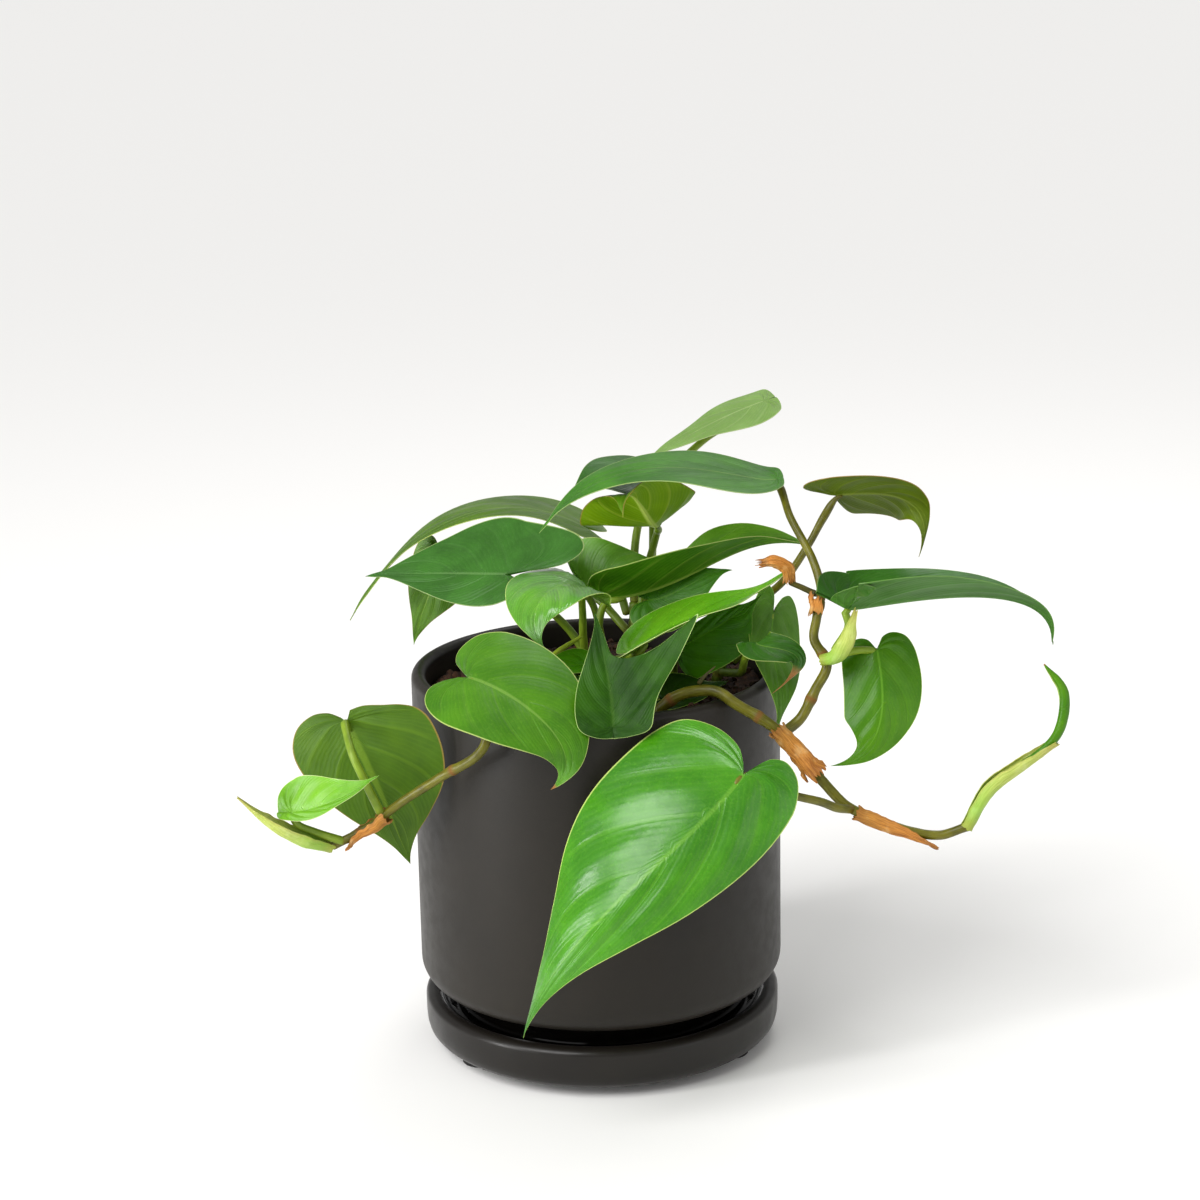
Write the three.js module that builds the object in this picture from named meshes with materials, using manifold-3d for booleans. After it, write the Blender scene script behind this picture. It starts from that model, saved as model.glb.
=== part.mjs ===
import * as THREE from 'three';
import { mergeVertices } from 'three/addons/utils/BufferGeometryUtils.js';
import Module from 'manifold-3d';

// Potted heartleaf philodendron. Millimetres, +Z up, the front of the pot faces -Y.
// The origin is the centre of the saucer's flat underside, on the axis of the pot.

const wasm = await Module();
wasm.setup();

// Pot: a cylinder with a soft lip, standing on a narrower foot ring.
const potRadius = 63.5;
const potWall = 5;
const potRimHeight = 131.5;
const potBodyBottom = 20.3;
const potEdgeRound = 8;
const potFootRadius = 51.5;
const potFootBottom = 11.8;
const potFloor = 26;
const drainRadius = 7;
const roundSides = 40;

// Saucer: a shallow dish with a soft rim, on three short round feet.
const saucerRadius = 62.4;
const saucerHeight = 15.3;
const saucerWell = 11.5;
const saucerWellRadius = 56;
const footRadius = 6.5;
const footHeight = 3.4;
const footCircle = 50;
const footAngles = [-28, 92, 212];

// Soil, its hollow for the stems and the gap that separate pieces keep.
const soilTop = 123.5;
const soilBump = 1.4;
const gap = 0.3;

// Leaves and petioles.
const bladeThickness = 0.8;
const petioleRadius = 1.25;
const petioleSides = 5;
const stemSides = 8;
const sheathThickness = 0.7;
const blade = { rays: 10, rings: 2, fan: 0.32 };

const finish = (colour, roughness) =>
  new THREE.MeshStandardMaterial({ color: colour, roughness, metalness: 0 });
const finishes = {
  pot: () => finish('#3b3836', 0.72),
  saucer: () => finish('#2b2927', 0.45),
  foot: () => finish('#141313', 0.9),
  soil: () => finish('#3a1f12', 0.95),
  leaf: () => finish('#3f8a2a', 0.42),
  brightLeaf: () => finish('#4ea51f', 0.35),
  paleLeaf: () => finish('#7fa96a', 0.5),
  oliveLeaf: () => finish('#5a7a1c', 0.5),
  stem: () => finish('#5c6b16', 0.5),
  drySheath: () => finish('#b5672a', 0.85),
  paleSheath: () => finish('#b5cf7a', 0.6),
};

const vec = (p) => new THREE.Vector3(...p);
const curveThrough = (points) => new THREE.CatmullRomCurve3(points.map(vec), false, 'centripetal');

// Closed geometry with shared vertices and no triangle that has lost its area.
function weld(geometry) {
  const bare = geometry.index ? geometry.toNonIndexed() : geometry.clone();
  bare.deleteAttribute('normal');
  bare.deleteAttribute('uv');
  const merged = mergeVertices(bare, 1e-4);
  const index = merged.index.array;
  const kept = [];
  for (let i = 0; i < index.length; i += 3) {
    const [a, b, c] = [index[i], index[i + 1], index[i + 2]];
    if (a !== b && b !== c && c !== a) kept.push(a, b, c);
  }
  merged.setIndex(kept);
  return merged;
}

function toSolid(geometry) {
  const merged = weld(geometry);
  return new wasm.Manifold(new wasm.Mesh({
    numProp: 3,
    vertProperties: new Float32Array(merged.attributes.position.array),
    triVerts: new Uint32Array(merged.index.array),
  }));
}

function toGeometry(solid) {
  const mesh = solid.getMesh();
  const geometry = new THREE.BufferGeometry();
  geometry.setAttribute('position', new THREE.BufferAttribute(mesh.vertProperties, 3));
  geometry.setIndex(new THREE.BufferAttribute(mesh.triVerts, 1));
  geometry.computeVertexNormals();
  return geometry;
}

// A round rod along a curve, its radius given along the way, with closed ends.
function rod(curve, radiusAt, steps, sides) {
  const frames = curve.computeFrenetFrames(steps, false);
  const ring = (i) => Array.from({ length: sides }, (_, k) => {
    const angle = (2 * Math.PI * k) / sides;
    const radius = radiusAt(i / steps);
    return curve.getPointAt(i / steps)
      .addScaledVector(frames.normals[i], radius * Math.cos(angle))
      .addScaledVector(frames.binormals[i], radius * Math.sin(angle)).toArray();
  });
  const rings = Array.from({ length: steps + 1 }, (_, i) => ring(i));
  const [start, end] = [curve.getPointAt(0).toArray(), curve.getPointAt(1).toArray()];
  const triangles = [];
  for (let k = 0; k < sides; k++) {
    const next = (k + 1) % sides;
    for (let i = 0; i < steps; i++) {
      const [a, b, c, d] = [rings[i][k], rings[i][next], rings[i + 1][next], rings[i + 1][k]];
      triangles.push(a, b, c, a, c, d);
    }
    triangles.push(start, rings[0][next], rings[0][k], end, rings[steps][k], rings[steps][next]);
  }
  return fromTriangles(triangles);
}

// Linear blend through evenly spaced values.
function along(values) {
  return (t) => {
    const place = Math.min(t, 0.9999) * (values.length - 1);
    const i = Math.floor(place);
    return THREE.MathUtils.lerp(values[i], values[i + 1], place - i);
  };
}

// A sheath: part of a tube round a curve, open towards one side, of one thickness.
function sheathGeometry({ path, radii, arc, open, steps }) {
  const curve = curveThrough(path);
  const radiusAt = along(radii);
  const columns = 6;
  const opening = vec(open);
  const row = (i, extra) => Array.from({ length: columns + 1 }, (_, k) => {
    const t = i / steps;
    const tangent = curve.getTangentAt(t);
    const back = opening.clone().addScaledVector(tangent, -opening.dot(tangent)).normalize().negate();
    const side = tangent.clone().cross(back);
    const angle = THREE.MathUtils.degToRad(arc * (k / columns - 0.5));
    const radius = radiusAt(t) + extra;
    return curve.getPointAt(t).addScaledVector(back, radius * Math.cos(angle))
      .addScaledVector(side, radius * Math.sin(angle)).toArray();
  });
  const outer = Array.from({ length: steps + 1 }, (_, i) => row(i, sheathThickness));
  const inner = Array.from({ length: steps + 1 }, (_, i) => row(i, 0));
  const triangles = [];
  const quad = (a, b, c, d) => triangles.push(a, b, c, a, c, d);
  for (let i = 0; i < steps; i++) {
    for (let k = 0; k < columns; k++) {
      quad(outer[i][k], outer[i][k + 1], outer[i + 1][k + 1], outer[i + 1][k]);
      quad(inner[i][k], inner[i + 1][k], inner[i + 1][k + 1], inner[i][k + 1]);
    }
    quad(inner[i][0], outer[i][0], outer[i + 1][0], inner[i + 1][0]);
    quad(outer[i][columns], inner[i][columns], inner[i + 1][columns], outer[i + 1][columns]);
  }
  for (let k = 0; k < columns; k++) {
    quad(inner[0][k], inner[0][k + 1], outer[0][k + 1], outer[0][k]);
    quad(outer[steps][k], outer[steps][k + 1], inner[steps][k + 1], inner[steps][k]);
  }
  return fromTriangles(triangles);
}

// Pot, turned from one profile that runs round its wall and closes on itself.
function potGeometry() {
  const inner = potRadius - potWall;
  const lip = potWall / 2;
  const corner = (cx, cz, r, from, to, count) => Array.from({ length: count + 1 }, (_, i) => {
    const angle = THREE.MathUtils.degToRad(from + ((to - from) * i) / count);
    return [cx + r * Math.cos(angle), cz + r * Math.sin(angle)];
  });
  const profile = [
    [drainRadius, potFootBottom],
    [potFootRadius - 1, potFootBottom],
    [potFootRadius, potFootBottom + 1],
    [potFootRadius, potBodyBottom],
    ...corner(potRadius - potEdgeRound, potBodyBottom + potEdgeRound, potEdgeRound, -90, 0, 4),
    ...corner(potRadius - lip, potRimHeight - lip, lip, 0, 180, 5),
    ...corner(inner - 6, potFloor + 6, 6, 0, -90, 2),
    [drainRadius, potFloor],
    [drainRadius, potFootBottom],
  ].map(([x, z]) => new THREE.Vector2(x, z));
  return new THREE.LatheGeometry(profile, roundSides).rotateX(Math.PI / 2);
}

function saucerGeometry() {
  const rim = (saucerRadius - saucerWellRadius) / 2;
  const rimPoints = Array.from({ length: 6 }, (_, i) => {
    const angle = (Math.PI * i) / 5;
    return [saucerRadius - rim + rim * Math.cos(angle), saucerHeight - 2.4 + 2.4 * Math.sin(angle)];
  });
  const profile = [
    [0, 0], [20, 0], [56, 0], [60.5, 1.2], [62, 4],
    ...rimPoints,
    [saucerWellRadius - 1.2, saucerWell],
    [0, saucerWell],
  ].map(([x, z]) => new THREE.Vector2(x, z));
  return new THREE.LatheGeometry(profile, roundSides).rotateX(Math.PI / 2);
}

function footGeometry() {
  return new THREE.CylinderGeometry(footRadius, footRadius - 0.6, footHeight, 20).rotateX(Math.PI / 2);
}

// Soil: a plug a little smaller than the pot's inside, with an uneven top.
function soilGeometry() {
  const radius = potRadius - potWall - 2 * gap;
  const bottom = potFloor + gap;
  const [rings, spokes] = [6, 28];
  const height = (x, y) => soilTop + soilBump * (Math.sin(0.19 * x + 1.1) * Math.cos(0.23 * y) - 0.35)
    + 0.5 * Math.sin(0.61 * x - 0.5 * y);
  const at = (ring, spoke) => {
    const r = (radius * ring) / rings;
    const angle = (2 * Math.PI * spoke) / spokes;
    const [x, y] = [r * Math.cos(angle), r * Math.sin(angle)];
    return [x, y, height(x, y)];
  };
  const low = (r, z, spoke) => {
    const angle = (2 * Math.PI * spoke) / spokes;
    return [r * Math.cos(angle), r * Math.sin(angle), z];
  };
  const triangles = [];
  for (let s = 0; s < spokes; s++) {
    triangles.push([0, 0, height(0, 0)], at(1, s), at(1, s + 1));
    for (let r = 1; r < rings; r++) {
      triangles.push(at(r, s), at(r + 1, s), at(r + 1, s + 1), at(r, s), at(r + 1, s + 1), at(r, s + 1));
    }
    const [a, b] = [at(rings, s), at(rings, s + 1)];
    const [c, d] = [low(radius, bottom + 7, s), low(radius, bottom + 7, s + 1)];
    const [e, f] = [low(radius - 7, bottom, s), low(radius - 7, bottom, s + 1)];
    triangles.push(a, c, d, a, d, b, c, e, f, c, f, d, e, [0, 0, bottom], f);
  }
  return fromTriangles(triangles);
}

function fromTriangles(triangles) {
  const geometry = new THREE.BufferGeometry();
  geometry.setAttribute('position', new THREE.Float32BufferAttribute(triangles.flat(), 3));
  return geometry;
}

const outlineThrough = (points) => new THREE.SplineCurve(points.map(([x, y]) => new THREE.Vector2(x, y)));

// Heart outline of one half leaf: along the midrib from the joint (0) to the tip (1),
// and out from it, as a part of the half width.
const heart = outlineThrough([
  [-0.07, 0.06], [-0.17, 0.2], [-0.215, 0.45], [-0.16, 0.75], [0, 0.95], [0.18, 1], [0.38, 0.87],
  [0.56, 0.6], [0.72, 0.32], [0.85, 0.13], [0.94, 0.045], [1, 0],
]);
// A broader one, with shoulders close to its spike of a tip.
const broadHeart = outlineThrough([
  [-0.07, 0.06], [-0.17, 0.2], [-0.2, 0.45], [-0.14, 0.75], [0, 0.95], [0.2, 1], [0.42, 1],
  [0.58, 0.9], [0.68, 0.6], [0.77, 0.25], [0.88, 0.07], [1, 0],
]);

// One that keeps its width further along.
const fullHeart = outlineThrough([
  [-0.07, 0.06], [-0.17, 0.2], [-0.215, 0.45], [-0.16, 0.75], [0, 0.93], [0.18, 1], [0.36, 0.98],
  [0.52, 0.82], [0.66, 0.52], [0.78, 0.23], [0.9, 0.06], [1, 0],
]);
// One that stays narrow at the joint and is widest past the middle.
const lateHeart = outlineThrough([
  [-0.05, 0.06], [-0.1, 0.14], [-0.1, 0.22], [-0.05, 0.27], [0.1, 0.3], [0.25, 0.38], [0.42, 0.78],
  [0.56, 1], [0.7, 0.86], [0.83, 0.5], [0.93, 0.2], [1, 0],
]);
// One whose shoulder stands out as a wing beside a long spike.
const winged = outlineThrough([
  [-0.1, 0.06], [-0.19, 0.15], [-0.1, 0.35], [0.21, 0.46], [0.5, 0.76], [0.76, 1], [0.67, 0.75],
  [0.62, 0.58], [0.56, 0.4], [0.58, 0.22], [0.8, 0.08], [1, 0],
]);

// The cubic that passes its four points at 0, a third, two thirds and 1.
function curveByThirds([start, first, second, end]) {
  const mix = (a, b, c, d) => new THREE.Vector3()
    .addScaledVector(start, a / 6).addScaledVector(first, b / 6)
    .addScaledVector(second, c / 6).addScaledVector(end, d / 6);
  return new THREE.CubicBezierCurve3(start, mix(-5, 18, -9, 2), mix(2, -9, 18, -5), end);
}

// Maps the flat leaf into space: along the bent midrib, with each half folded and curled.
function leafMap(leaf) {
  const spine = curveByThirds(leaf.midrib.map(vec));
  const length = spine.getPoint(0).distanceTo(spine.getPoint(1));
  const faceBase = vec(leaf.face).normalize();
  const faceTip = vec(leaf.faceTip || leaf.face).normalize();
  return (along, side, across) => {
    const t = Math.max(0, along);
    const tangent = spine.getTangent(Math.min(t, 0.999)).normalize();
    const face = faceBase.clone().lerp(faceTip, t);
    const sideways = tangent.clone().cross(face).normalize();
    const normal = sideways.clone().cross(tangent).normalize();
    const point = spine.getPoint(t);
    const part = side > 0 ? 0 : 1;
    if (along < 0) point.addScaledVector(tangent, along * length * leaf.lobes[part]);
    const half = leaf.half[part];
    const twist = leaf.tipFold ? leaf.tipFold[part] * t * t : 0;
    const lean = THREE.MathUtils.degToRad(leaf.fold[part] + twist + (leaf.curl[part] * across) / 2);
    const reach = across * half;
    point.addScaledVector(sideways, side * reach * Math.cos(lean));
    point.addScaledVector(normal, reach * Math.sin(lean));
    return point;
  };
}

function bladeGeometry(leaf) {
  const map = leafMap(leaf);
  const { rays, rings, fan } = blade;
  const outlines = leaf.outlines || [heart, heart];
  const flat = (side, i, j) => {
    const outline = outlines[side > 0 ? 0 : 1];
    const u = i / rays;
    const v = j / rings;
    const edge = outline.getPoint(u);
    const inner = Math.max(0, (u - fan) / (1 - fan));
    return [inner + (edge.x - inner) * v, edge.y * v];
  };
  const small = 0.012;
  const skin = (side, i, j) => {
    const [a, b] = flat(side, i, j);
    const point = map(a, side, b);
    const onMidrib = b < 1e-6;
    const half = onMidrib ? 1 : side;
    const alongStep = map(a + small, half, b).sub(map(a - small, half, b));
    let normal;
    if (onMidrib) {
      const left = map(a, 1, small).sub(point);
      const right = map(a, -1, small).sub(point);
      normal = left.clone().sub(right).cross(alongStep).normalize();
    } else {
      const acrossStep = map(a, side, b + small).sub(map(a, side, b - small));
      normal = acrossStep.cross(alongStep).multiplyScalar(side).normalize();
    }
    const top = point.clone().addScaledVector(normal, bladeThickness / 2).toArray();
    const bottom = point.clone().addScaledVector(normal, -bladeThickness / 2).toArray();
    return { top, bottom };
  };
  const triangles = [];
  const put = (flip, a, b, c) => triangles.push(...(flip ? [a, c, b] : [a, b, c]));
  for (const side of [1, -1]) {
    const row = (i) => Array.from({ length: rings + 1 }, (_, j) => skin(side, i, j));
    const grid = Array.from({ length: rays + 1 }, (_, i) => row(i));
    const flip = side > 0;
    for (let i = 0; i < rays; i++) {
      for (let j = 0; j < rings; j++) {
        const [a, b, c, d] = [grid[i][j], grid[i + 1][j], grid[i + 1][j + 1], grid[i][j + 1]];
        put(flip, a.top, b.top, c.top);
        put(flip, a.top, c.top, d.top);
        put(!flip, a.bottom, b.bottom, c.bottom);
        put(!flip, a.bottom, c.bottom, d.bottom);
      }
      const [e, f] = [grid[i][rings], grid[i + 1][rings]];
      put(flip, e.top, f.top, f.bottom);
      put(flip, e.top, f.bottom, e.bottom);
    }
    for (let j = 0; j < rings; j++) {
      const [e, f] = [grid[0][j], grid[0][j + 1]];
      put(flip, e.top, f.top, f.bottom);
      put(flip, e.top, f.bottom, e.bottom);
    }
  }
  return weld(fromTriangles(triangles));
}

// A leaf: its blade fused with the petiole that ends under the joint.
function leafGeometry(leaf) {
  let solid = toSolid(bladeGeometry(leaf));
  const path = [...leaf.petiole, leaf.midrib[0]];
  const radii = along([1.2 * petioleRadius, petioleRadius]);
  const petiole = rod(curveThrough(path), radii, 2 * path.length - 1, petioleSides);
  solid = solid.add(toSolid(petiole));
  return toGeometry(solid);
}

// Midrib: the joint, two points at thirds of the way and the tip. Half: widths left and right of
// it, seen on the upper face with the tip down. Fold lifts a half towards the upper face, curl
// bends its edge, and lobes lengthen or shorten the two lobes behind the joint.
const leaves = [
  { name: 'leaf_front_hanging', finish: finishes.brightLeaf, face: [-0.2, -0.9, 0.35],
    midrib: [[46.3, -81, 117.3], [20.7, -97, 95.8], [-7.8, -103, 69.3], [-25.5, -92, 33.8]],
    half: [35.5, 21], fold: [0, -5], curl: [-25, -20], lobes: [0.4, 0.5], tipFold: [-60, 0],
    outlines: [fullHeart, heart],
    petiole: [[81.2, -63.3, 97.6], [77.5, -66, 100], [72, -69, 103.5], [61, -75, 108.5]] },
  { name: 'leaf_front_left', finish: finishes.leaf, face: [0.1, -0.6, 0.8],
    midrib: [[-41, -53, 143], [-24, -63, 137], [-11, -72, 125], [-15, -73, 111]],
    half: [21, 25], fold: [5, 0], curl: [-10, -10], lobes: [1, 1],
    petiole: [[-30.5, -40, 137.7], [-35, -46, 141]] },
  { name: 'leaf_left_low', finish: finishes.oliveLeaf, face: [0, 0.9, 0.4],
    midrib: [[-82.8, -36, 123.5], [-75.7, -38, 107.4], [-68.7, -38, 89.2], [-63.6, -36, 73.1]],
    half: [28, 24], fold: [-10, 0], curl: [10, 10], lobes: [0.15, 0.6],
    petiole: [[-72, -50, 97], [-76, -53, 108], [-80, -51, 117]] },
  { name: 'leaf_left_young', finish: finishes.brightLeaf, face: [0.1, -0.75, 0.65],
    midrib: [[-101, -56, 102], [-91, -57, 104.5], [-81, -58, 108], [-72, -58, 111]],
    half: [8, 6], fold: [10, 0], curl: [0, 0], lobes: [0.8, 0.8],
    petiole: [[-86, -51.2, 89], [-94, -54, 93], [-99, -55, 98]] },
  { name: 'leaf_centre_glossy', finish: finishes.brightLeaf, face: [-0.1, -0.3, 0.9],
    midrib: [[-3.6, -12, 161.7], [-13, -20, 164], [-19.5, -30, 158], [-16, -37, 147]],
    half: [22, 20], fold: [0, 12], curl: [-20, 0], lobes: [1, 0.7], outlines: [heart, fullHeart],
    petiole: [[-3.4, 3, 131], [-4, -2, 142], [-4, -8, 153]] },
  { name: 'leaf_left_broad', finish: finishes.leaf, face: [-0.3, -0.5, 0.81],
    midrib: [[-30.5, 1.5, 163.7], [-46.3, 9, 162.4], [-62.4, 16, 161], [-80, 22, 159]],
    half: [26, 13.5], fold: [0, 0], curl: [0, -10], lobes: [2.3, 0.7],
    petiole: [[-2.6, 6.4, 132], [-9, 8, 142], [-20, 4, 154]] },
  { name: 'leaf_left_arched', finish: finishes.oliveLeaf, face: [0, 0, 1],
    midrib: [[-4, 38, 172], [-32, 38, 174.5], [-61, 35, 165.5], [-87, 30, 141]],
    half: [22, 15], fold: [15, 0], curl: [-10, -20], lobes: [0.5, 0.5],
    petiole: [[11.2, 22.4, 144], [8, 28, 154], [3, 34, 165]] },
  { name: 'leaf_left_back', finish: finishes.leaf, face: [-0.2, -0.7, 0.5],
    midrib: [[-55, 44, 160], [-58, 42, 150], [-62, 39, 140], [-65, 35, 130]],
    half: [11, 13], fold: [0, 0], curl: [-10, -10], lobes: [1, 1],
    petiole: [[11.1, 21.1, 138], [0, 30, 148], [-20, 41, 156], [-40, 45, 161]] },
  { name: 'leaf_top_pale', finish: finishes.paleLeaf, face: [-0.42, -0.25, 0.87],
    midrib: [[61, 45, 214], [48, 42, 209.5], [33, 38, 203], [17, 34, 194.5]],
    half: [14, 14], fold: [0, 0], curl: [-10, -10], lobes: [0.3, 0.3],
    petiole: [[14, 20, 149], [14, 23, 158], [18, 34, 178], [40, 47, 200]] },
  { name: 'leaf_top_long', finish: finishes.leaf, face: [0, 0, 1],
    midrib: [[62, -8, 197], [42, -8, 200], [12, -10, 201], [-18, -16, 182]],
    half: [20, 18], fold: [6, -3], curl: [0, -8], lobes: [0.25, 0.25],
    petiole: [[74.6, -35.8, 162.5], [74.7, -34.6, 166], [72.5, -29, 174], [66, -18, 186]] },
  { name: 'leaf_top_back', finish: finishes.leaf, face: [0, -0.35, 0.9],
    midrib: [[20, 14, 193], [10, 10, 196], [0, 5, 195], [-8, 0, 189]],
    half: [16, 14], fold: [0, 0], curl: [-10, -10], lobes: [1, 1],
    petiole: [[17.2, 21.6, 146], [20, 25, 156], [21, 25, 176]] },
  { name: 'leaf_middle_cup', finish: finishes.oliveLeaf, face: [0, 0.65, 0.75],
    midrib: [[22, 6, 178.5], [18, -4, 185.5], [13, -14, 194], [10, -26, 189]],
    half: [26, 18], fold: [10, 30], curl: [0, 0], lobes: [0.5, 0.5],
    petiole: [[16.5, 17.4, 146], [17.5, 18.5, 156], [21, 20, 168], [22.5, 17, 174.5]] },
  { name: 'leaf_centre_long', finish: finishes.leaf, face: [0, 0, 1],
    midrib: [[4, 4, 154], [30, 6, 160], [51, 8, 169], [74, 10, 170]],
    half: [18, 11], fold: [50, 60], curl: [0, 0], lobes: [0.4, 1], outlines: [heart, lateHeart],
    petiole: [[0, 4, 134.9], [1.2, 4.5, 143]] },
  { name: 'leaf_centre_back', finish: finishes.leaf, face: [0, -0.8, 0.6],
    midrib: [[-3.4, 12, 156.3], [5, 12.5, 160], [13.5, 13, 163], [22, 14, 165]],
    half: [3, 17], fold: [0, 0], curl: [0, -10], lobes: [0.3, 0.3],
    petiole: [[4, 15, 118], [3, 14.5, 132], [0, 13, 148]] },
  { name: 'leaf_middle_shaded', finish: finishes.leaf, face: [0, -0.85, 0.5],
    midrib: [[19, 8, 152], [28, 8, 154.5], [38, 8, 159.5], [48, 8, 162]],
    half: [12.5, 9], fold: [0, 0], curl: [0, 0], lobes: [1, 1],
    petiole: [[13.4, 17.1, 134], [14.5, 12, 144]] },
  { name: 'leaf_right_low', finish: finishes.brightLeaf, face: [0, 0, 1],
    midrib: [[13, -24, 143], [32, -23, 153], [50, -20, 159], [67, -16, 169]],
    half: [18, 18], fold: [15, 10], curl: [0, 0], lobes: [0.5, 0.5], outlines: [fullHeart, heart],
    petiole: [[2.1, 2.2, 130], [5, -6, 134], [9, -16, 138]] },
  { name: 'leaf_right_round', finish: finishes.oliveLeaf, face: [0, -0.88, 0.47],
    midrib: [[28.2, -14, 140.5], [38.5, -15.5, 146.5], [48.5, -16, 153], [57.5, -15, 160]],
    half: [12.5, 5], fold: [0, 0], curl: [-20, 0], lobes: [0.3, 0.3], outlines: [broadHeart, broadHeart],
    petiole: [[27, 2, 118], [27, 0, 130], [27.5, -6, 137]] },
  { name: 'leaf_front_upright', finish: finishes.leaf, face: [0, -0.9, 0.3],
    midrib: [[5.4, -66.5, 129.5], [4.5, -60, 140], [2.5, -53, 151], [0.3, -45, 162]],
    half: [33, 12], fold: [10, 5], curl: [0, 0], lobes: [0.5, 0.5], outlines: [winged, heart],
    petiole: [[6, -44, 118], [6, -49, 128], [6, -57, 134], [5.8, -63, 134.5]] },
  { name: 'leaf_right_back', finish: finishes.leaf, face: [0.5, -0.85, 0.2],
    midrib: [[61, -8, 150.5], [60, -21, 138.5], [61.5, -30, 129], [59, -36.5, 116]],
    half: [7, 10], fold: [0, 0], curl: [-10, -10], lobes: [1, 1],
    petiole: [[48, 0.6, 132], [56, 2, 140], [61, 0, 147.5]] },
  { name: 'leaf_right_folded', finish: finishes.leaf, face: [0, -0.5, 0.8],
    midrib: [[53.5, -33, 147.2], [59.8, -36, 146], [67, -38, 142.6], [58.1, -41, 132]],
    half: [7, 7], fold: [0, 0], curl: [0, 0], lobes: [0.1, 0.1],
    petiole: [[44, 2.2, 127], [47.5, -4, 128.5], [49.5, -15, 132], [50.5, -25, 140]] },
  { name: 'leaf_right_heart', finish: finishes.brightLeaf, face: [0.25, -0.9, 0.3],
    midrib: [[93, -38, 145], [94, -46, 131], [90, -52, 118], [76, -52, 110]],
    half: [11, 15.5], fold: [-20, -5], curl: [-10, -10], lobes: [0.6, 0.7],
    petiole: [[78, -41, 144], [85, -41, 146]] },
  { name: 'leaf_right_top', finish: finishes.oliveLeaf, face: [0, 0.65, 0.76],
    midrib: [[82, -14, 193], [94, -18, 194], [107, -22, 190], [108, -24, 173]],
    half: [12, 16], fold: [0, 0], curl: [0, 0], lobes: [1.5, 0.3], outlines: [broadHeart, broadHeart],
    petiole: [[46.5, 6.1, 130], [51, 9, 142], [58, 4, 152], [65.5, -4, 161.7], [73.2, -10, 175.6],
      [77.3, -12, 184]] },
  { name: 'leaf_right_long', finish: finishes.leaf, face: [0, 0, 1],
    midrib: [[84, -42, 161], [102, -42, 162], [132, -42, 162], [150, -42, 147]],
    half: [30, 18], fold: [30, 14], curl: [0, 0], lobes: [0.5, 0.6],
    petiole: [[79, -42, 147], [83, -43, 155]] },
  { name: 'leaf_pot_shaded', finish: finishes.leaf, face: [0, -0.6, 0.8],
    midrib: [[23, -27, 126.8], [30, -25, 127.3], [38, -22, 128.3], [45, -18, 130]],
    half: [5, 10.5], fold: [0, 0], curl: [0, 0], lobes: [1, 1],
    petiole: [[20, -18, 118], [20.2, -20.5, 124.6]] },
  { name: 'leaf_pot_small', finish: finishes.leaf, face: [0, -0.4, 0.9],
    midrib: [[-4, -22, 139], [-9, -24, 140], [-17, -28, 138], [-22, -30, 133]],
    half: [7, 7], fold: [10, 10], curl: [0, 0], lobes: [1, 1],
    petiole: [[-3, -12, 118], [-3, -14, 128], [-3, -18, 135]] },
];

// Stems, each a curve through hand-placed points, from the soil outwards.
const stems = [
  { name: 'vine_left', radii: [1.7, 1.6, 1.4], steps: 22,
    points: [[-22, -20, 106], [-24, -24, 124], [-29, -40, 134.5], [-33, -54, 134.5], [-37, -61, 121],
      [-51, -55, 110], [-66, -50, 99], [-75, -50, 92], [-88, -50, 85]] },
  { name: 'vine_front', radii: [1.9, 1.9, 1.8, 1.6, 1.5], steps: 30,
    points: [[16, -42, 106], [18, -44, 124], [26, -45, 132.5], [34, -45, 134.6], [40, -46.5, 134.4],
      [46, -49, 130.8], [53, -51, 127], [59, -53, 123], [66, -54, 115], [73, -57, 107], [81, -60, 99],
      [92, -62, 94], [102, -64, 91], [111, -65, 90], [119, -65, 92.5]] },
  { name: 'vine_right', radii: [1.8, 1.7, 1.6, 1.5], steps: 16,
    points: [[61.4, -49.7, 121.1], [67, -47, 125], [72, -45, 134], [76, -43, 142], [72, -40, 150],
      [73, -38, 156], [74.5, -36, 162]] },
  { name: 'vine_right_tip', radii: [1.1, 1, 0.9], steps: 5,
    points: [[73, -33, 163.5], [69, -26, 164], [66, -20, 164]] },
  { name: 'stem_centre', radii: [1.9, 1.7], steps: 4,
    points: [[2, 6, 106], [1, 5, 124], [0, 4, 134]] },
  { name: 'stem_back', radii: [2, 1.8], steps: 6,
    points: [[14, 22, 106], [14, 21, 124], [14, 20, 148]] },
  { name: 'stem_right', radii: [1.8, 1.6], steps: 6,
    points: [[40, 6, 106], [42, 5, 124], [48, 2, 138]] },
  { name: 'shoot_young', radii: [1.3, 1.2, 0.5], steps: 7,
    points: [[-17, -19, 112], [-16, -18, 130], [-10, -11, 139], [-4.5, -5, 142.5]] },
  { name: 'leaf_rolled_tip', finish: finishes.brightLeaf, radii: [1, 2, 2.4, 1.6, 0.3], steps: 9,
    points: [[148, -62, 121.5], [151, -60, 130], [150.5, -59, 137], [145, -58, 144.5]] },
  { name: 'sheath_spike', finish: finishes.drySheath, radii: [0.8, 0.2], steps: 3,
    points: [[34, -45, 137.3], [36, -45, 139.8], [39, -44, 142.2]] },
];

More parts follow.
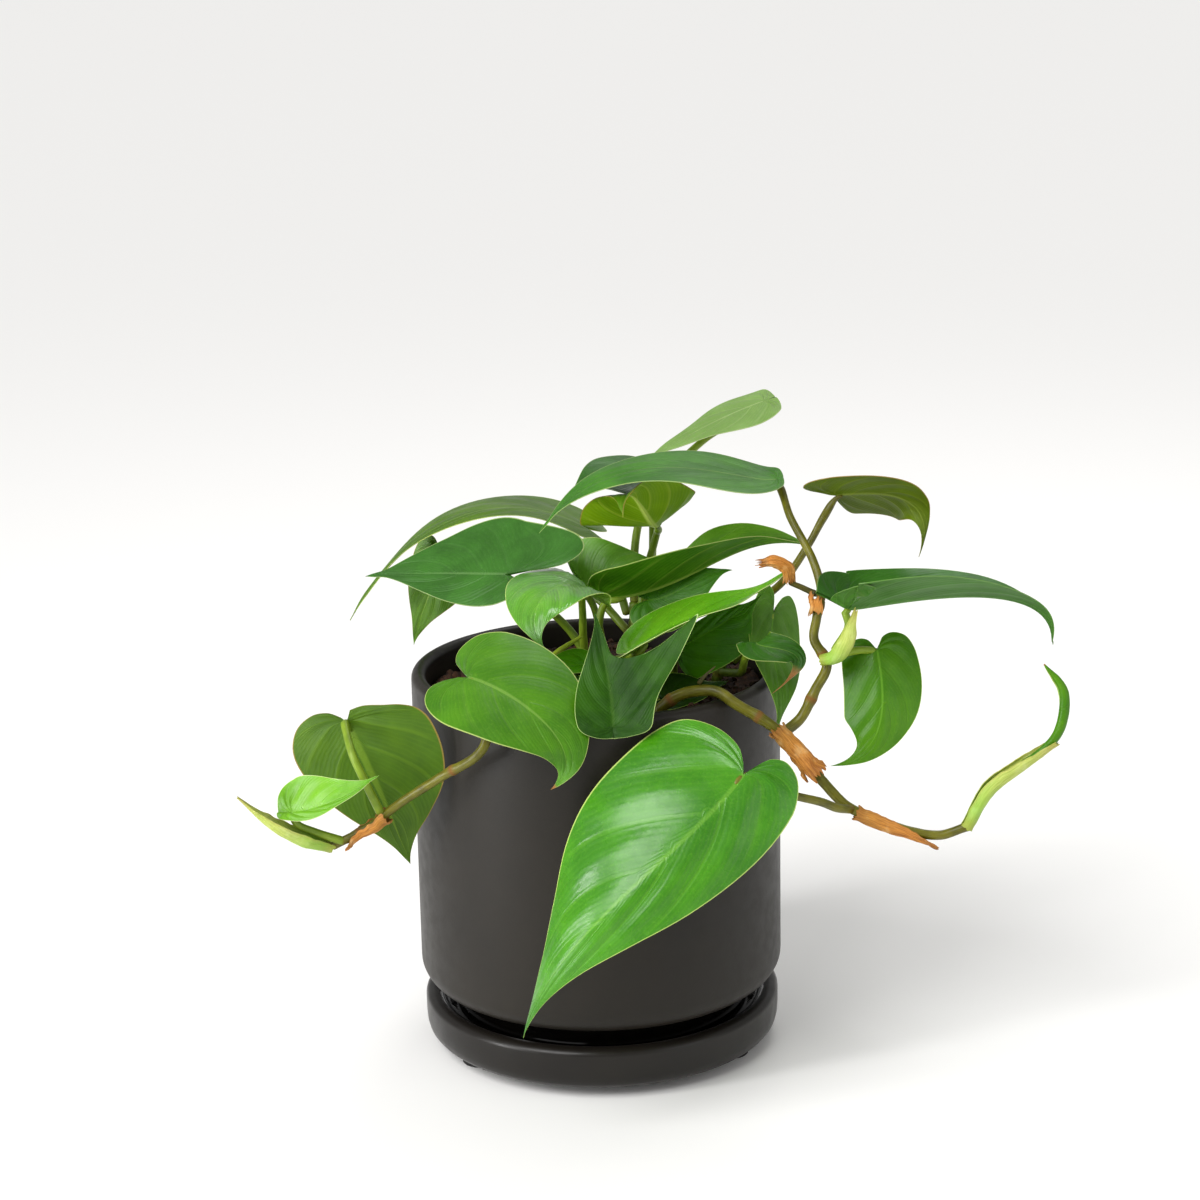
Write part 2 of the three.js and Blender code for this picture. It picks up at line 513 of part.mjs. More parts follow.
// Sheaths that wrap the nodes, dry or still fresh, each open towards one side.
const sheaths = [
  { name: 'sheath_left_dry', finish: finishes.drySheath, steps: 3, arc: 220, open: [0.3, 0, 1],
    path: [[-75, -50, 92], [-80, -50, 89.5], [-84, -50, 87.3]], radii: [2.1, 2.2, 2.4] },
  { name: 'sheath_left_pale', finish: finishes.paleSheath, steps: 6, arc: 180, open: [0.2, 0, 1],
    path: [[-88.4, -50.2, 85.2], [-98, -54, 91], [-107, -57, 97.5], [-116, -60, 106]],
    radii: [1.6, 2, 1.4, 0.2] },
  { name: 'sheath_front_dry', finish: finishes.drySheath, steps: 5, arc: 230, open: [0, 1, 0.1],
    path: [[59, -53, 123], [66, -54, 115], [71, -56, 109.3]], radii: [2.3, 2.4, 2.8] },
  { name: 'sheath_right_dry', finish: finishes.drySheath, steps: 6, arc: 230, open: [0, 0.6, 1],
    path: [[84.5, -60.8, 97], [92, -62, 94], [102, -64, 91], [109, -65, 90]],
    radii: [2.2, 2.3, 2.2, 2.6] },
  { name: 'sheath_tip_pale', finish: finishes.paleSheath, steps: 8, arc: 300, open: [-0.6, 0, 0.7],
    path: [[120.1, -65, 93.6], [126.5, -64, 105], [137.5, -63, 113.5], [147.5, -62, 120.5]],
    radii: [1.3, 1.9, 2, 1.7] },
  { name: 'sheath_right_pale', finish: finishes.paleSheath, steps: 7, arc: 190, open: [1, 0.6, 0.6],
    path: [[74.5, -45.2, 144.2], [78, -46.9, 145.6], [82.3, -47.5, 151.5], [85, -48, 161]],
    radii: [1.2, 2.4, 2.1, 0.2] },
  { name: 'sheath_knot_dry', finish: finishes.drySheath, steps: 3, arc: 220, open: [1, 0.3, 0.2],
    path: [[73, -38, 156.5], [73.6, -37.3, 159], [74.3, -36.3, 161.5]], radii: [2.1, 2.2, 2.6] },
  { name: 'sheath_curled_dry', finish: finishes.drySheath, steps: 7, arc: 120, open: [-1, 0, 0.6],
    path: [[65.2, -20.4, 165.3], [64.6, -20.5, 169.5], [60.5, -20.5, 172.3], [56, -20, 171.8]],
    radii: [1.2, 1.4, 1.2, 0.8] },
];

const plant = new THREE.Group();
plant.name = 'potted_heartleaf_philodendron';

// The soil with a plain round hole for each stem and petiole that stands in it.
function soilWithHoles() {
  let soil = toSolid(soilGeometry());
  const rooted = [
    ...stems.map(({ points, radii }) => ({ points, radius: Math.max(...radii) })),
    ...leaves.map(({ petiole }) => ({ points: petiole, radius: 1.2 * petioleRadius })),
  ].filter(({ points }) => points[0][2] < soilTop - 3);
  for (const { points, radius } of rooted) {
    const [foot, ...rest] = points;
    const path = [[foot[0], foot[1], foot[2] - gap], ...rest];
    const hole = rod(curveThrough(path), () => radius + 2 * gap, 6 * path.length, stemSides);
    soil = soil.subtract(toSolid(hole));
  }
  return toGeometry(soil);
}

function place(name, geometry, material) {
  const mesh = new THREE.Mesh(geometry, material);
  mesh.name = name;
  plant.add(mesh);
  return mesh;
}

place('pot', potGeometry(), finishes.pot());
place('saucer', saucerGeometry(), finishes.saucer());
footAngles.forEach((degrees, i) => {
  const angle = THREE.MathUtils.degToRad(degrees);
  const foot = place(`saucer_foot_${i + 1}`, footGeometry(), finishes.foot());
  foot.position.set(footCircle * Math.cos(angle), footCircle * Math.sin(angle), -footHeight / 2);
});
place('soil', soilWithHoles(), finishes.soil());
for (const { name, points, radii, steps, finish: own = finishes.stem } of stems) {
  place(name, weld(rod(curveThrough(points), along(radii), steps, stemSides)), own());
}
for (const sheath of sheaths) place(sheath.name, weld(sheathGeometry(sheath)), sheath.finish());
for (const leaf of leaves) place(leaf.name, leafGeometry(leaf), leaf.finish());

export default plant;
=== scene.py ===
import math
import random

import bmesh
import bpy
from mathutils import Euler, Matrix, Vector, noise


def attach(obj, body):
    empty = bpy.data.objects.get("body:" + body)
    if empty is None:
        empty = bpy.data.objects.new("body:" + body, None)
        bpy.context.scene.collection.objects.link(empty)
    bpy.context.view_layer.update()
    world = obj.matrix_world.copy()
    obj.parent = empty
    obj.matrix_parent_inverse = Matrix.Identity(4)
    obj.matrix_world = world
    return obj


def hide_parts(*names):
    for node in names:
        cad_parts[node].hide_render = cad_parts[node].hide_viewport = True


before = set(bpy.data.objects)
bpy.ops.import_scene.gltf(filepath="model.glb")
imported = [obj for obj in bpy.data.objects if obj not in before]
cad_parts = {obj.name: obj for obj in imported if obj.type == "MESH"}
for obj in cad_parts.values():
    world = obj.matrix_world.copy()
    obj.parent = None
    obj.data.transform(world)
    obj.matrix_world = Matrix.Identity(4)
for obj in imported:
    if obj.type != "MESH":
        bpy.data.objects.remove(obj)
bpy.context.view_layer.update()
mm = 0.001
print("frame loaded:", len(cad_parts), "nodes")

# Sizes and places are in millimetres, as in the part's source, and become metres on the mesh.

camera = {
    "place": (2.04, -865.66, 378.82),
    "down": 14.54,  # degrees below level
    "roll": -1.16,
    "lens": 78.3,
    "sensor": 36,
    "clip": (0.01, 30),  # metres
}

studio = {
    "floorHeight": -3.4,
    "floorSize": 44000,
    "floorColour": "#fbfaf8",
    "worldColour": "#ffffff",
    "worldStrength": 0.44,
    "keyTurn": (44, 0, -38),  # degrees: a broad soft key from the upper left of the camera
    "keySpread": 34,
    "keyStrength": 2.1,
    "lamps": [
        # name, place in mm, aimed at, width and height in mm, watts
        ("fillRight", (900, -600, 420), (0, 0, 110), (700, 700), 1.6),
        ("topBack", (260, 520, 1000), (0, 0, 150), (500, 500), 2.4),
        ("stripLeft", (-720, -380, 150), (0, 0, 90), (120, 640), 5.5),
    ],
}


def linear(hexColour):
    # sRGB hex to the linear colour that shaders use
    parts = [int(hexColour[i:i + 2], 16) / 255 for i in (1, 3, 5)]
    return [c / 12.92 if c <= 0.04045 else ((c + 0.055) / 1.055) ** 2.4 for c in parts] + [1.0]


# Shader helpers

def addNode(tree, kind, inputs=None, **settings):
    made = tree.nodes.new(kind)
    for key, value in settings.items():
        setattr(made, key, value)
    for key, value in (inputs or {}).items():
        if isinstance(value, bpy.types.NodeSocket):
            tree.links.new(value, made.inputs[key])
        else:
            made.inputs[key].default_value = value
    return made


def newMaterial(name):
    # an empty material, its nodes and the place on the object that its patterns follow
    material = bpy.data.materials.new(name)
    material.use_nodes = True
    tree = material.node_tree
    tree.nodes.clear()
    return material, tree, addNode(tree, "ShaderNodeTexCoord").outputs["Object"]


def closeMaterial(material, inputs, bump=None):
    # one shader with these inputs; bump is a height, its depth in mm and its strength
    tree = material.node_tree
    if bump:
        relief = dict(zip(("Height", "Distance", "Strength"), (bump[0], bump[1] * mm, bump[2])))
        inputs["Normal"] = addNode(tree, "ShaderNodeBump", relief).outputs[0]
    shader = addNode(tree, "ShaderNodeBsdfPrincipled", inputs)
    addNode(tree, "ShaderNodeOutputMaterial", {"Surface": shader.outputs[0]})
    return material


def calculate(tree, operation, *values):
    return addNode(tree, "ShaderNodeMath", dict(enumerate(values)), operation=operation).outputs[0]


def times(tree, first, second):
    return calculate(tree, "MULTIPLY", first, second)


def plus(tree, first, second):
    return calculate(tree, "ADD", first, second)


def remap(tree, value, low, high, toLow=0.0, toHigh=1.0):
    made = addNode(tree, "ShaderNodeMapRange", {0: value, 1: low, 2: high, 3: toLow, 4: toHigh},
                   interpolation_type="SMOOTHSTEP")
    return made.outputs[0]


def mixColour(tree, factor, first, second):
    made = addNode(tree, "ShaderNodeMix", {0: factor, 6: first, 7: second}, data_type="RGBA")
    return made.outputs[2]


def twoTone(tree, factor, low, high):
    return mixColour(tree, factor, linear(low), linear(high))


def tint(tree, base, colour, cover, share=1.0):
    # up to this share of the colour over the base, where cover says
    return mixColour(tree, times(tree, cover, share), base, linear(colour))


def grain(tree, place, size, detail=3.0, rough=0.55):
    # noise whose coarsest lumps are about this many millimetres across
    made = addNode(tree, "ShaderNodeTexNoise", {"Vector": place, "Scale": 1 / (size * mm), "Detail": detail,
                                               "Roughness": rough})
    return made.outputs[0]


def readAttribute(tree, key):
    return addNode(tree, "ShaderNodeAttribute", attribute_name=key).outputs["Fac"]


def lengthwiseLines(tree, across, along, noiseInputs):
    # noise drawn out along a stem or sheath: this often across it, and seldom along it
    around = addNode(tree, "ShaderNodeCombineXYZ", {"X": times(tree, readAttribute(tree, "turn"), across),
                                                    "Y": times(tree, readAttribute(tree, "run"), along), "Z": 0.0})
    return addNode(tree, "ShaderNodeTexNoise", {"Vector": around.outputs[0], **noiseInputs}).outputs[0]


# Leaf skins. Veins: how many leave the midrib on each side, how far they lean forward as a share of
# the leaf, how deep they sink in mm, and how the fine ones wobble (lumps in mm, share of the leaf).
veins = {"main": 7, "fine": 46, "forward": 0.24, "sink": 0.2, "wobbleSize": 5, "wobble": 0.02, "fadeFrom": 0.78}

leafSkin = {
    # lumps in mm
    "patch": 16, "underPatch": 14, "speck": 0.9, "waxPatch": 7, "dryBorder": 3,
    # shares of the colours that lie over the green; the margin ones paint a highlight along the edge
    "speckShow": 0.14, "marginHighlightShow": 0.8, "underFine": 0.16, "underVein": 0.45, "underRib": 0.8, "underMarginHighlight": 0.7,
    "dryUpper": "#9a6a34", "dryUnder": "#8a5a28",
    # heights of the relief, and its depth in mm and strength
    "veinHeight": -0.5, "speckHeight": 0.22, "underFineHeight": 0.12, "underVeinHeight": 0.6, "relief": (0.25, 0.6),
    # light that goes through the green tissue
    "tissue": {"Subsurface Weight": 0.12, "Subsurface Radius": (0.9, 1.6, 0.35), "Subsurface Scale": 0.0006},
    "wax": {"Coat Roughness": 0.3, "Coat IOR": 1.4},
}


def veinPattern(tree, place, lineFrom):
    # how far out a point lies, the wave of the fine veins, and the lines of the side veins, which
    # start where their wave passes lineFrom and fade towards the edge
    rim = readAttribute(tree, "rim")
    course = calculate(tree, "SUBTRACT", readAttribute(tree, "ray"), times(tree, rim, veins["forward"]))

    def wave(at, count):
        return calculate(tree, "COSINE", times(tree, at, count * 2 * math.pi))

    wobble = times(tree, grain(tree, place, veins["wobbleSize"]), veins["wobble"])
    fine = wave(plus(tree, course, wobble), veins["fine"])
    lines = remap(tree, wave(course, veins["main"]), lineFrom, 1.0)
    return rim, fine, times(tree, lines, remap(tree, rim, veins["fadeFrom"], 1.0, 1.0, 0.0))


def driedPart(tree, place):
    # where a leaf's tip has dried brown, with an uneven border
    border = times(tree, grain(tree, place, leafSkin["dryBorder"]), 0.3)
    return remap(tree, plus(tree, readAttribute(tree, "dry"), border), 0.5, 0.8)


def upperLeafMaterial(name, look):
    # Upper face of a philodendron leaf: waxy cuticle over green tissue, so soft gloss, sunken pale
    # side veins and a thin pale margin, brightened with a painted highlight where light catches the edge.
    material, tree, place = newMaterial(name)
    rim, fine, lines = veinPattern(tree, place, 0.9)
    speck = grain(tree, place, leafSkin["speck"], 2)
    patch = remap(tree, grain(tree, place, leafSkin["patch"], 4), 0.35, 0.7)
    base = twoTone(tree, patch, look["deep"], look["green"])
    base = tint(tree, base, look["light"], remap(tree, speck, 0.5, 0.8), leafSkin["speckShow"])
    base = tint(tree, base, look["light"], remap(tree, fine, 0.3, 1.0), look["veinShow"] / 2)
    base = tint(tree, base, look["light"], lines, look["veinShow"])
    base = tint(tree, base, look["rib"], remap(tree, rim, 0.01, 0.04, 1.0, 0.0), look["ribShow"])
    # painted highlight: the thin pale band along the edge is lightened as if light caught the rim
    base = tint(tree, base, look["margin"], remap(tree, rim, 0.98, 0.992), leafSkin["marginHighlightShow"])
    base = tint(tree, base, leafSkin["dryUpper"], driedPart(tree, place))
    uneven = grain(tree, place, leafSkin["waxPatch"], 3)
    rough = remap(tree, uneven, 0.3, 0.75, look["rough"] - 0.07, look["rough"] + 0.08)
    height = plus(tree, times(tree, fine, -look["streak"]), times(tree, lines, leafSkin["veinHeight"]))
    height = plus(tree, height, times(tree, speck, leafSkin["speckHeight"]))
    return closeMaterial(material, {
        "Base Color": base, "Roughness": rough, "IOR": 1.47, "Specular IOR Level": look["gloss"],
        "Coat Weight": look["wax"], **leafSkin["wax"], **leafSkin["tissue"]}, (height, *leafSkin["relief"]))


def underLeafMaterial(name, look):
    # Lower face: the same tissue without the wax, paler and more olive, with raised veins.
    material, tree, place = newMaterial(name)
    rim, fine, lines = veinPattern(tree, place, 0.86)
    patch = remap(tree, grain(tree, place, leafSkin["underPatch"], 4), 0.3, 0.7)
    base = twoTone(tree, patch, look["underDeep"], look["under"])
    base = tint(tree, base, look["underVein"], remap(tree, fine, 0.2, 1.0), leafSkin["underFine"])
    base = tint(tree, base, look["underVein"], lines, leafSkin["underVein"])
    base = tint(tree, base, look["underRib"], remap(tree, rim, 0.03, 0.07, 1.0, 0.0), leafSkin["underRib"])
    # painted highlight: the same pale edge band on the lower face, lightened as if light caught the rim
    base = tint(tree, base, look["margin"], remap(tree, rim, 0.975, 0.99), leafSkin["underMarginHighlight"])
    base = tint(tree, base, leafSkin["dryUnder"], driedPart(tree, place))
    height = times(tree, fine, leafSkin["underFineHeight"])
    height = plus(tree, height, times(tree, lines, leafSkin["underVeinHeight"]))
    return closeMaterial(material, {
        "Base Color": base, "Roughness": 0.52, "IOR": 1.45, "Specular IOR Level": 0.25, **leafSkin["tissue"]},
        (height, *leafSkin["relief"]))


def stemMaterial(name, look):
    # Young green stem: smooth skin with faint ridges along it, corky brown rings at the nodes.
    material, tree, place = newMaterial(name)
    scar = readAttribute(tree, "scar")
    ridges = lengthwiseLines(tree, 9.0, 0.12, {"Scale": 2.0, "Detail": 3.0})
    base = twoTone(tree, remap(tree, grain(tree, place, 9, 4), 0.3, 0.7), look["deep"], look["green"])
    base = tint(tree, base, look["light"], remap(tree, ridges, 0.45, 0.75), 0.35)
    base = tint(tree, base, look["scar"], scar, 0.8)
    height = plus(tree, times(tree, ridges, 0.6), times(tree, grain(tree, place, 0.7, 3), 0.4))
    rough = remap(tree, scar, 0.0, 1.0, look["rough"], 0.8)
    return closeMaterial(material, {
        "Base Color": base, "Roughness": rough, "IOR": 1.45, "Specular IOR Level": 0.4}, (height, 0.2, 0.5))


def sheathMaterial(name, look):
    # Papery cataphyll: parallel fibres along it, mottled where it has dried, green where it grows.
    material, tree, place = newMaterial(name)
    fibres = lengthwiseLines(tree, 14.0, 0.07, {"Scale": 2.2, "Detail": 4.0, "Roughness": 0.6})
    base = twoTone(tree, remap(tree, fibres, 0.3, 0.65), look["deep"], look["colour"])
    base = tint(tree, base, look["spot"], remap(tree, grain(tree, place, 4, 4), 0.5, 0.75), look["mottle"])
    growth = remap(tree, readAttribute(tree, "grown"), 0.05, 0.6, 1.0, 0.0)
    base = tint(tree, base, look["fresh"], growth, look["freshBase"])
    base = tint(tree, base, look["tip"], remap(tree, readAttribute(tree, "tip"), 0.72, 1.0), look["tipBrown"])
    return closeMaterial(material, {"Base Color": base, "Roughness": look["rough"], "IOR": 1.45}, (fibres, 0.35, 0.8))


def stonewareMaterial(name, look):
    # Fired stoneware with a satin engobe or a wet black glaze: fine grain, slight shade drift.
    material, tree, place = newMaterial(name)
    fleck = grain(tree, place, 0.6, 3)
    base = twoTone(tree, remap(tree, grain(tree, place, 40, 3), 0.3, 0.7), look["deep"], look["colour"])
    base = tint(tree, base, look["light"], remap(tree, fleck, 0.55, 0.85), look["fleck"])
    low, high = look["rough"] - look["uneven"], look["rough"] + look["uneven"]
    return closeMaterial(material, {
        "Base Color": base, "Roughness": remap(tree, grain(tree, place, 5, 4), 0.3, 0.7, low, high), "IOR": 1.5,
        "Specular IOR Level": look["gloss"], "Coat Weight": look["coat"], "Coat Roughness": 0.06},
        (grain(tree, place, look["grit"], 4), 0.1, look["bump"]))


def rubberMaterial():
    # Moulded rubber foot: dull, finely pitted.
    material, tree, place = newMaterial("mouldedRubber")
    pits = grain(tree, place, 0.5, 3)
    return closeMaterial(material, {
        "Base Color": twoTone(tree, pits, "#0d0c0c", "#1d1b1a"), "Roughness": 0.85, "IOR": 1.5}, (pits, 0.15, 0.7))


def soilMaterial():
    # Moist peat and bark mix: dark brown crumbs with lighter flecks of bark.
    material, tree, place = newMaterial("moistPottingMix")
    lumps = grain(tree, place, 2.4, 5, 0.65)
    base = twoTone(tree, remap(tree, lumps, 0.3, 0.7), "#1a0e07", "#4a2b16")
    base = tint(tree, base, "#7a4d28", remap(tree, grain(tree, place, 6, 4), 0.58, 0.72), 0.6)
    return closeMaterial(material, {"Base Color": base, "Roughness": 0.9}, (lumps, 0.8, 0.9))


def floorMaterial():
    # Matte painted board.
    board = newMaterial("palePaintedBoard")[0]
    return closeMaterial(board, {"Base Color": linear(studio["floorColour"]), "Roughness": 0.9})


# Greens of the leaf skins: most looks are one kind of leaf in the plant, by its age and its wax;
# some are darker, with painted shade, for leaves that lie in shade, and one is lighter, with painted
# light. The upper face has green, deep, light, rib and margin (a thin pale edge with a painted
# highlight), the lower one the colours named under.
leafLooks = {
    "bright": {"green": "#42890a", "deep": "#317504", "light": "#80c03a", "rib": "#86c040", "margin": "#bdd070",
               "rough": 0.28, "wax": 0.45, "gloss": 0.33, "streak": 0.1, "veinShow": 0.1, "ribShow": 0.3,
               "under": "#6c9a1c", "underDeep": "#578a10", "underVein": "#94b54a", "underRib": "#a2c05a"},
    "mid": {"green": "#4b830c", "deep": "#3b7107", "light": "#80b038", "rib": "#8cb450", "margin": "#bccc74",
            "rough": 0.36, "wax": 0.15, "gloss": 0.28, "streak": 0.1, "veinShow": 0.08, "ribShow": 0.4,
            "under": "#5a840e", "underDeep": "#487406", "underVein": "#82a236", "underRib": "#8fae46"},
    "deep": {"green": "#356a1c", "deep": "#295812", "light": "#5a8844", "rib": "#749a5c", "margin": "#9fb470",
             "rough": 0.42, "wax": 0.1, "gloss": 0.28, "streak": 0.1, "veinShow": 0.07, "ribShow": 0.35,
             "under": "#55790e", "underDeep": "#436a08", "underVein": "#7d9930", "underRib": "#889f3c"},
    "shaded": {"green": "#468404", "deep": "#387402", "light": "#60a018", "rib": "#70ac28", "margin": "#a8c860",
               "rough": 0.4, "wax": 0.1, "gloss": 0.2, "streak": 0.1, "veinShow": 0.1, "ribShow": 0.35,
               "under": "#446c08", "underDeep": "#365a04", "underVein": "#6c8a26", "underRib": "#7a9632"},
    "pale": {"green": "#7a9c50", "deep": "#6a8c40", "light": "#98b470", "rib": "#a8be80", "margin": "#b0c088",
             "rough": 0.5, "wax": 0.05, "gloss": 0.3, "streak": 0.1, "veinShow": 0.25, "ribShow": 0.5,
             "under": "#7d9450", "underDeep": "#6c8440", "underVein": "#9aab68", "underRib": "#a0b072"},
    "olive": {"green": "#56800a", "deep": "#467006", "light": "#7fa030", "rib": "#8eaa40", "margin": "#9a7a3e",
              "rough": 0.4, "wax": 0.1, "gloss": 0.25, "streak": 0.1, "veinShow": 0.08, "ribShow": 0.45,
              "under": "#769a04", "underDeep": "#648a02", "underVein": "#98ac34", "underRib": "#b4c45c"},
}

# Looks that differ from one of these in a few values
derivedLooks = {
    "glossy": ("bright", {"green": "#5a9c12", "deep": "#46880a", "light": "#96cc50", "rough": 0.2,
                          "wax": 1.0, "gloss": 0.6, "streak": 0.3}),
    "lime": ("bright", {"green": "#66a41c", "deep": "#529410", "margin": "#d4e494", "wax": 0.25}),
    "ripe": ("bright", {"green": "#4c8206", "deep": "#3c7204", "light": "#7ca42c", "rough": 0.36,
                        "wax": 0.1, "gloss": 0.22, "veinShow": 0.02, "streak": 0.05}),
    "young": ("bright", {"green": "#72ae1c", "deep": "#5e9c12", "light": "#a4d05c", "veinShow": 0.05,
                         "wax": 0.25, "margin": "#d8e49c"}),
    # painted shade: greens and lower face darkened for leaves that hang in shade
    "old": ("olive", {"green": "#4c7606", "deep": "#3e6604", "under": "#466806", "underDeep": "#385a04",
                      "underVein": "#56780e", "underRib": "#66861a"}),
    "bronze": ("olive", {"green": "#4a6404", "deep": "#3e5404", "light": "#6f8424", "gloss": 0.18,
                         "under": "#566c04", "underDeep": "#4a5c02", "underVein": "#6c7c1c",
                         "underRib": "#7c8c30"}),
    "long": ("deep", {"green": "#3f7c14", "deep": "#2e660c", "light": "#6a9a3c", "rib": "#94b464"}),
    # painted shade: a near-black green for the leaf deep in shadow inside the pot
    "dusk": ("shaded", {"green": "#1c3804", "deep": "#142c02", "light": "#2c4c0c", "gloss": 0.12}),
    # painted shade: greens darkened for the upright front leaf, whose right part lies in shadow; it is also less waxy
    # and glossy
    "dull": ("mid", {"green": "#2a5604", "deep": "#183c02", "light": "#42701a", "rough": 0.46, "wax": 0.02,
                     "gloss": 0.14, "veinShow": 0.03, "ribShow": 0.05, "margin": "#b8d480"}),
    "yellowed": ("mid", {"green": "#507606", "deep": "#406404", "light": "#789430"}),
    # painted light: mid's upper greens lightened to stand in for light on the central leaves, whose far halves lie in
    # shade
    "back": ("mid", {"green": "#72a82c", "deep": "#5c961c", "light": "#9cc460", "under": "#4c840c",
                     "underDeep": "#3c7404"}),
    "seaGreen": ("deep", {"under": "#447626", "underDeep": "#36641a", "underVein": "#548438",
                          "underRib": "#5c8842", "margin": "#6a9048"}),
    "folded": ("mid", {"green": "#33660c", "deep": "#265608", "light": "#5c8c34"}),
    "dim": ("shaded", {"green": "#568526", "deep": "#457218", "light": "#769c4c"}),
}
leafLooks.update({name: {**leafLooks[base], **changes} for name, (base, changes) in derivedLooks.items()})

stemLooks = {
    "vine": {"green": "#6f6a14", "deep": "#4c4a0e", "light": "#8f9434", "scar": "#7a4a20", "rough": 0.34},
    "fresh": {"green": "#7f9a24", "deep": "#64801a", "light": "#a9bd50", "scar": "#8a7a30", "rough": 0.4},
    "shoot": {"green": "#a9bd2c", "deep": "#8ba51e", "light": "#ccd860", "scar": "#b58a34", "rough": 0.4},
    "dark": {"green": "#4a4614", "deep": "#33300e", "light": "#6b6828", "scar": "#5a3a1c", "rough": 0.5},
}

sheathLooks = {
    "dry": {"colour": "#d58e38", "deep": "#9c5c18", "spot": "#ecca8c", "mottle": 0.5, "tip": "#7c4814",
            "tipBrown": 0.45, "fresh": "#8c7a28", "freshBase": 0.25, "rough": 0.6},
    "pale": {"colour": "#bcc862", "deep": "#9cae44", "spot": "#dfe6a4", "mottle": 0.4, "tip": "#a8843c",
             "tipBrown": 0.4, "fresh": "#7cb42c", "freshBase": 0.75, "rough": 0.45},
}

potLooks = {
    "body": {"colour": "#221e18", "deep": "#1c1914", "light": "#2e2922", "fleck": 0.25, "rough": 0.44,
             "uneven": 0.04, "grit": 0.7, "bump": 0.25, "coat": 0.0, "gloss": 0.26},
    "glaze": {"colour": "#080705", "deep": "#050404", "light": "#100e0c", "fleck": 0.1, "rough": 0.1,
              "uneven": 0.04, "grit": 5.0, "bump": 0.9, "coat": 0.3, "gloss": 0.35},
    "saucer": {"colour": "#1c1914", "deep": "#161310", "light": "#28241f", "fleck": 0.2, "rough": 0.34,
               "uneven": 0.04, "grit": 0.7, "bump": 0.2, "coat": 0.0, "gloss": 0.3},
}


# Meshes

def newPiece(nodeName, vertices, faces, materials, slotName, faceMaterials=None, attributes=None, name=None):
    # a finished piece at the origin that stands for this CAD node
    mesh = bpy.data.meshes.new(name or camelName(nodeName))
    mesh.from_pydata([Vector(v) * mm for v in vertices], [], faces)
    piece = bpy.data.objects.new(mesh.name, mesh)
    bpy.context.scene.collection.objects.link(piece)
    for material in materials:
        mesh.materials.append(material)
    if faceMaterials:
        mesh.polygons.foreach_set("material_index", faceMaterials)
    for key, values in (attributes or {}).items():
        mesh.attributes.new(key, "FLOAT", "POINT").data.foreach_set("value", values)
    register(piece, nodeName, slotName)
    return piece


def register(piece, nodeName, slotName):
    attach(piece, "root")
    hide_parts(nodeName)


def camelName(nodeName):
    first, *rest = nodeName.split("_")
    return first + "".join(word.capitalize() for word in rest)


mergeDistance = 0.002
smoothAngle = 50  # degrees
crispAngle = 35


def cleanPiece(piece, angle, merge=True, outwards=True):
    # doubles merged, faces outwards, smooth shading with sharp edges kept
    bpy.ops.object.select_all(action="DESELECT")
    piece.select_set(True)
    bpy.context.view_layer.objects.active = piece
    bpy.ops.object.mode_set(mode="EDIT")
    bpy.ops.mesh.select_all(action="SELECT")
    if merge:
        bpy.ops.mesh.remove_doubles(threshold=mergeDistance * mm)
        bpy.ops.mesh.dissolve_degenerate(threshold=mergeDistance * mm)
    if outwards:
        bpy.ops.mesh.normals_make_consistent(inside=False)
    bpy.ops.object.mode_set(mode="OBJECT")
    bpy.ops.object.shade_smooth_by_angle(angle=math.radians(angle))


def splinePoint(p1, p2, slope1, slope2, w):
    # cubic through p1 and p2 with these slopes at them
    a = p1 * 2 - p2 * 2 + slope1 + slope2
    b = p1 * -3 + p2 * 3 - slope1 * 2 - slope2
    return a * w ** 3 + b * w ** 2 + slope1 * w + p1


def centripetalPoint(points, t):
    # the centripetal curve through the points, as the part's source has it
    last = len(points) - 1
    i = min(int(t * last), last - 1)
    p1, p2 = points[i], points[i + 1]
    p0 = points[i - 1] if i > 0 else p1 * 2 - p2
    p3 = points[i + 2] if i + 2 <= last else p2 * 2 - p1
    d0, d1, d2 = [max(1e-4, (b - a).length) ** 0.5 for a, b in ((p0, p1), (p1, p2), (p2, p3))]
    slope1 = ((p1 - p0) / d0 - (p2 - p0) / (d0 + d1) + (p2 - p1) / d1) * d1
    slope2 = ((p2 - p1) / d1 - (p3 - p1) / (d1 + d2) + (p3 - p2) / d2) * d1
    return splinePoint(p1, p2, slope1, slope2, t * last - i)


def evenPath(points, step, into=(0.0, 0.0)):
    # points along the curve at even steps of length, in mm; into runs its ends into the neighbours
    points = [Vector(p) for p in points]
    samples = 400
    fine = [centripetalPoint(points, i / samples) for i in range(samples + 1)]
    fine[0] = fine[0] + (fine[0] - fine[1]).normalized() * into[0]
    fine[-1] = fine[-1] + (fine[-1] - fine[-2]).normalized() * into[1]
    lengths = [0.0]
    for a, b in zip(fine, fine[1:]):
        lengths.append(lengths[-1] + (b - a).length)
    count = max(3, round(lengths[-1] / step))
    path, j = [], 0
    for k in range(count + 1):
        target = lengths[-1] * k / count
        while j < samples - 1 and lengths[j + 1] < target:
            j += 1
        span = max(1e-9, lengths[j + 1] - lengths[j])
        path.append(fine[j].lerp(fine[j + 1], min(1, (target - lengths[j]) / span)))
    return path, lengths[-1]


def blendValues(values, t):
    place = min(max(t, 0), 0.9999) * (len(values) - 1)
    i = int(place)
    return values[i] + (values[i + 1] - values[i]) * (place - i)


def turnFrames(path):
    # a tangent and two cross directions at each point, carried along without twist
    ends = [path[0], *path, path[-1]]
    tangents = [(b - a).normalized() for a, b in zip(ends, ends[2:])]
    side = tangents[0].orthogonal().normalized()
    frames = []
    for tangent in tangents:
        side = (side - tangent * side.dot(tangent)).normalized()
        frames.append((tangent, side, tangent.cross(side)))
    return frames


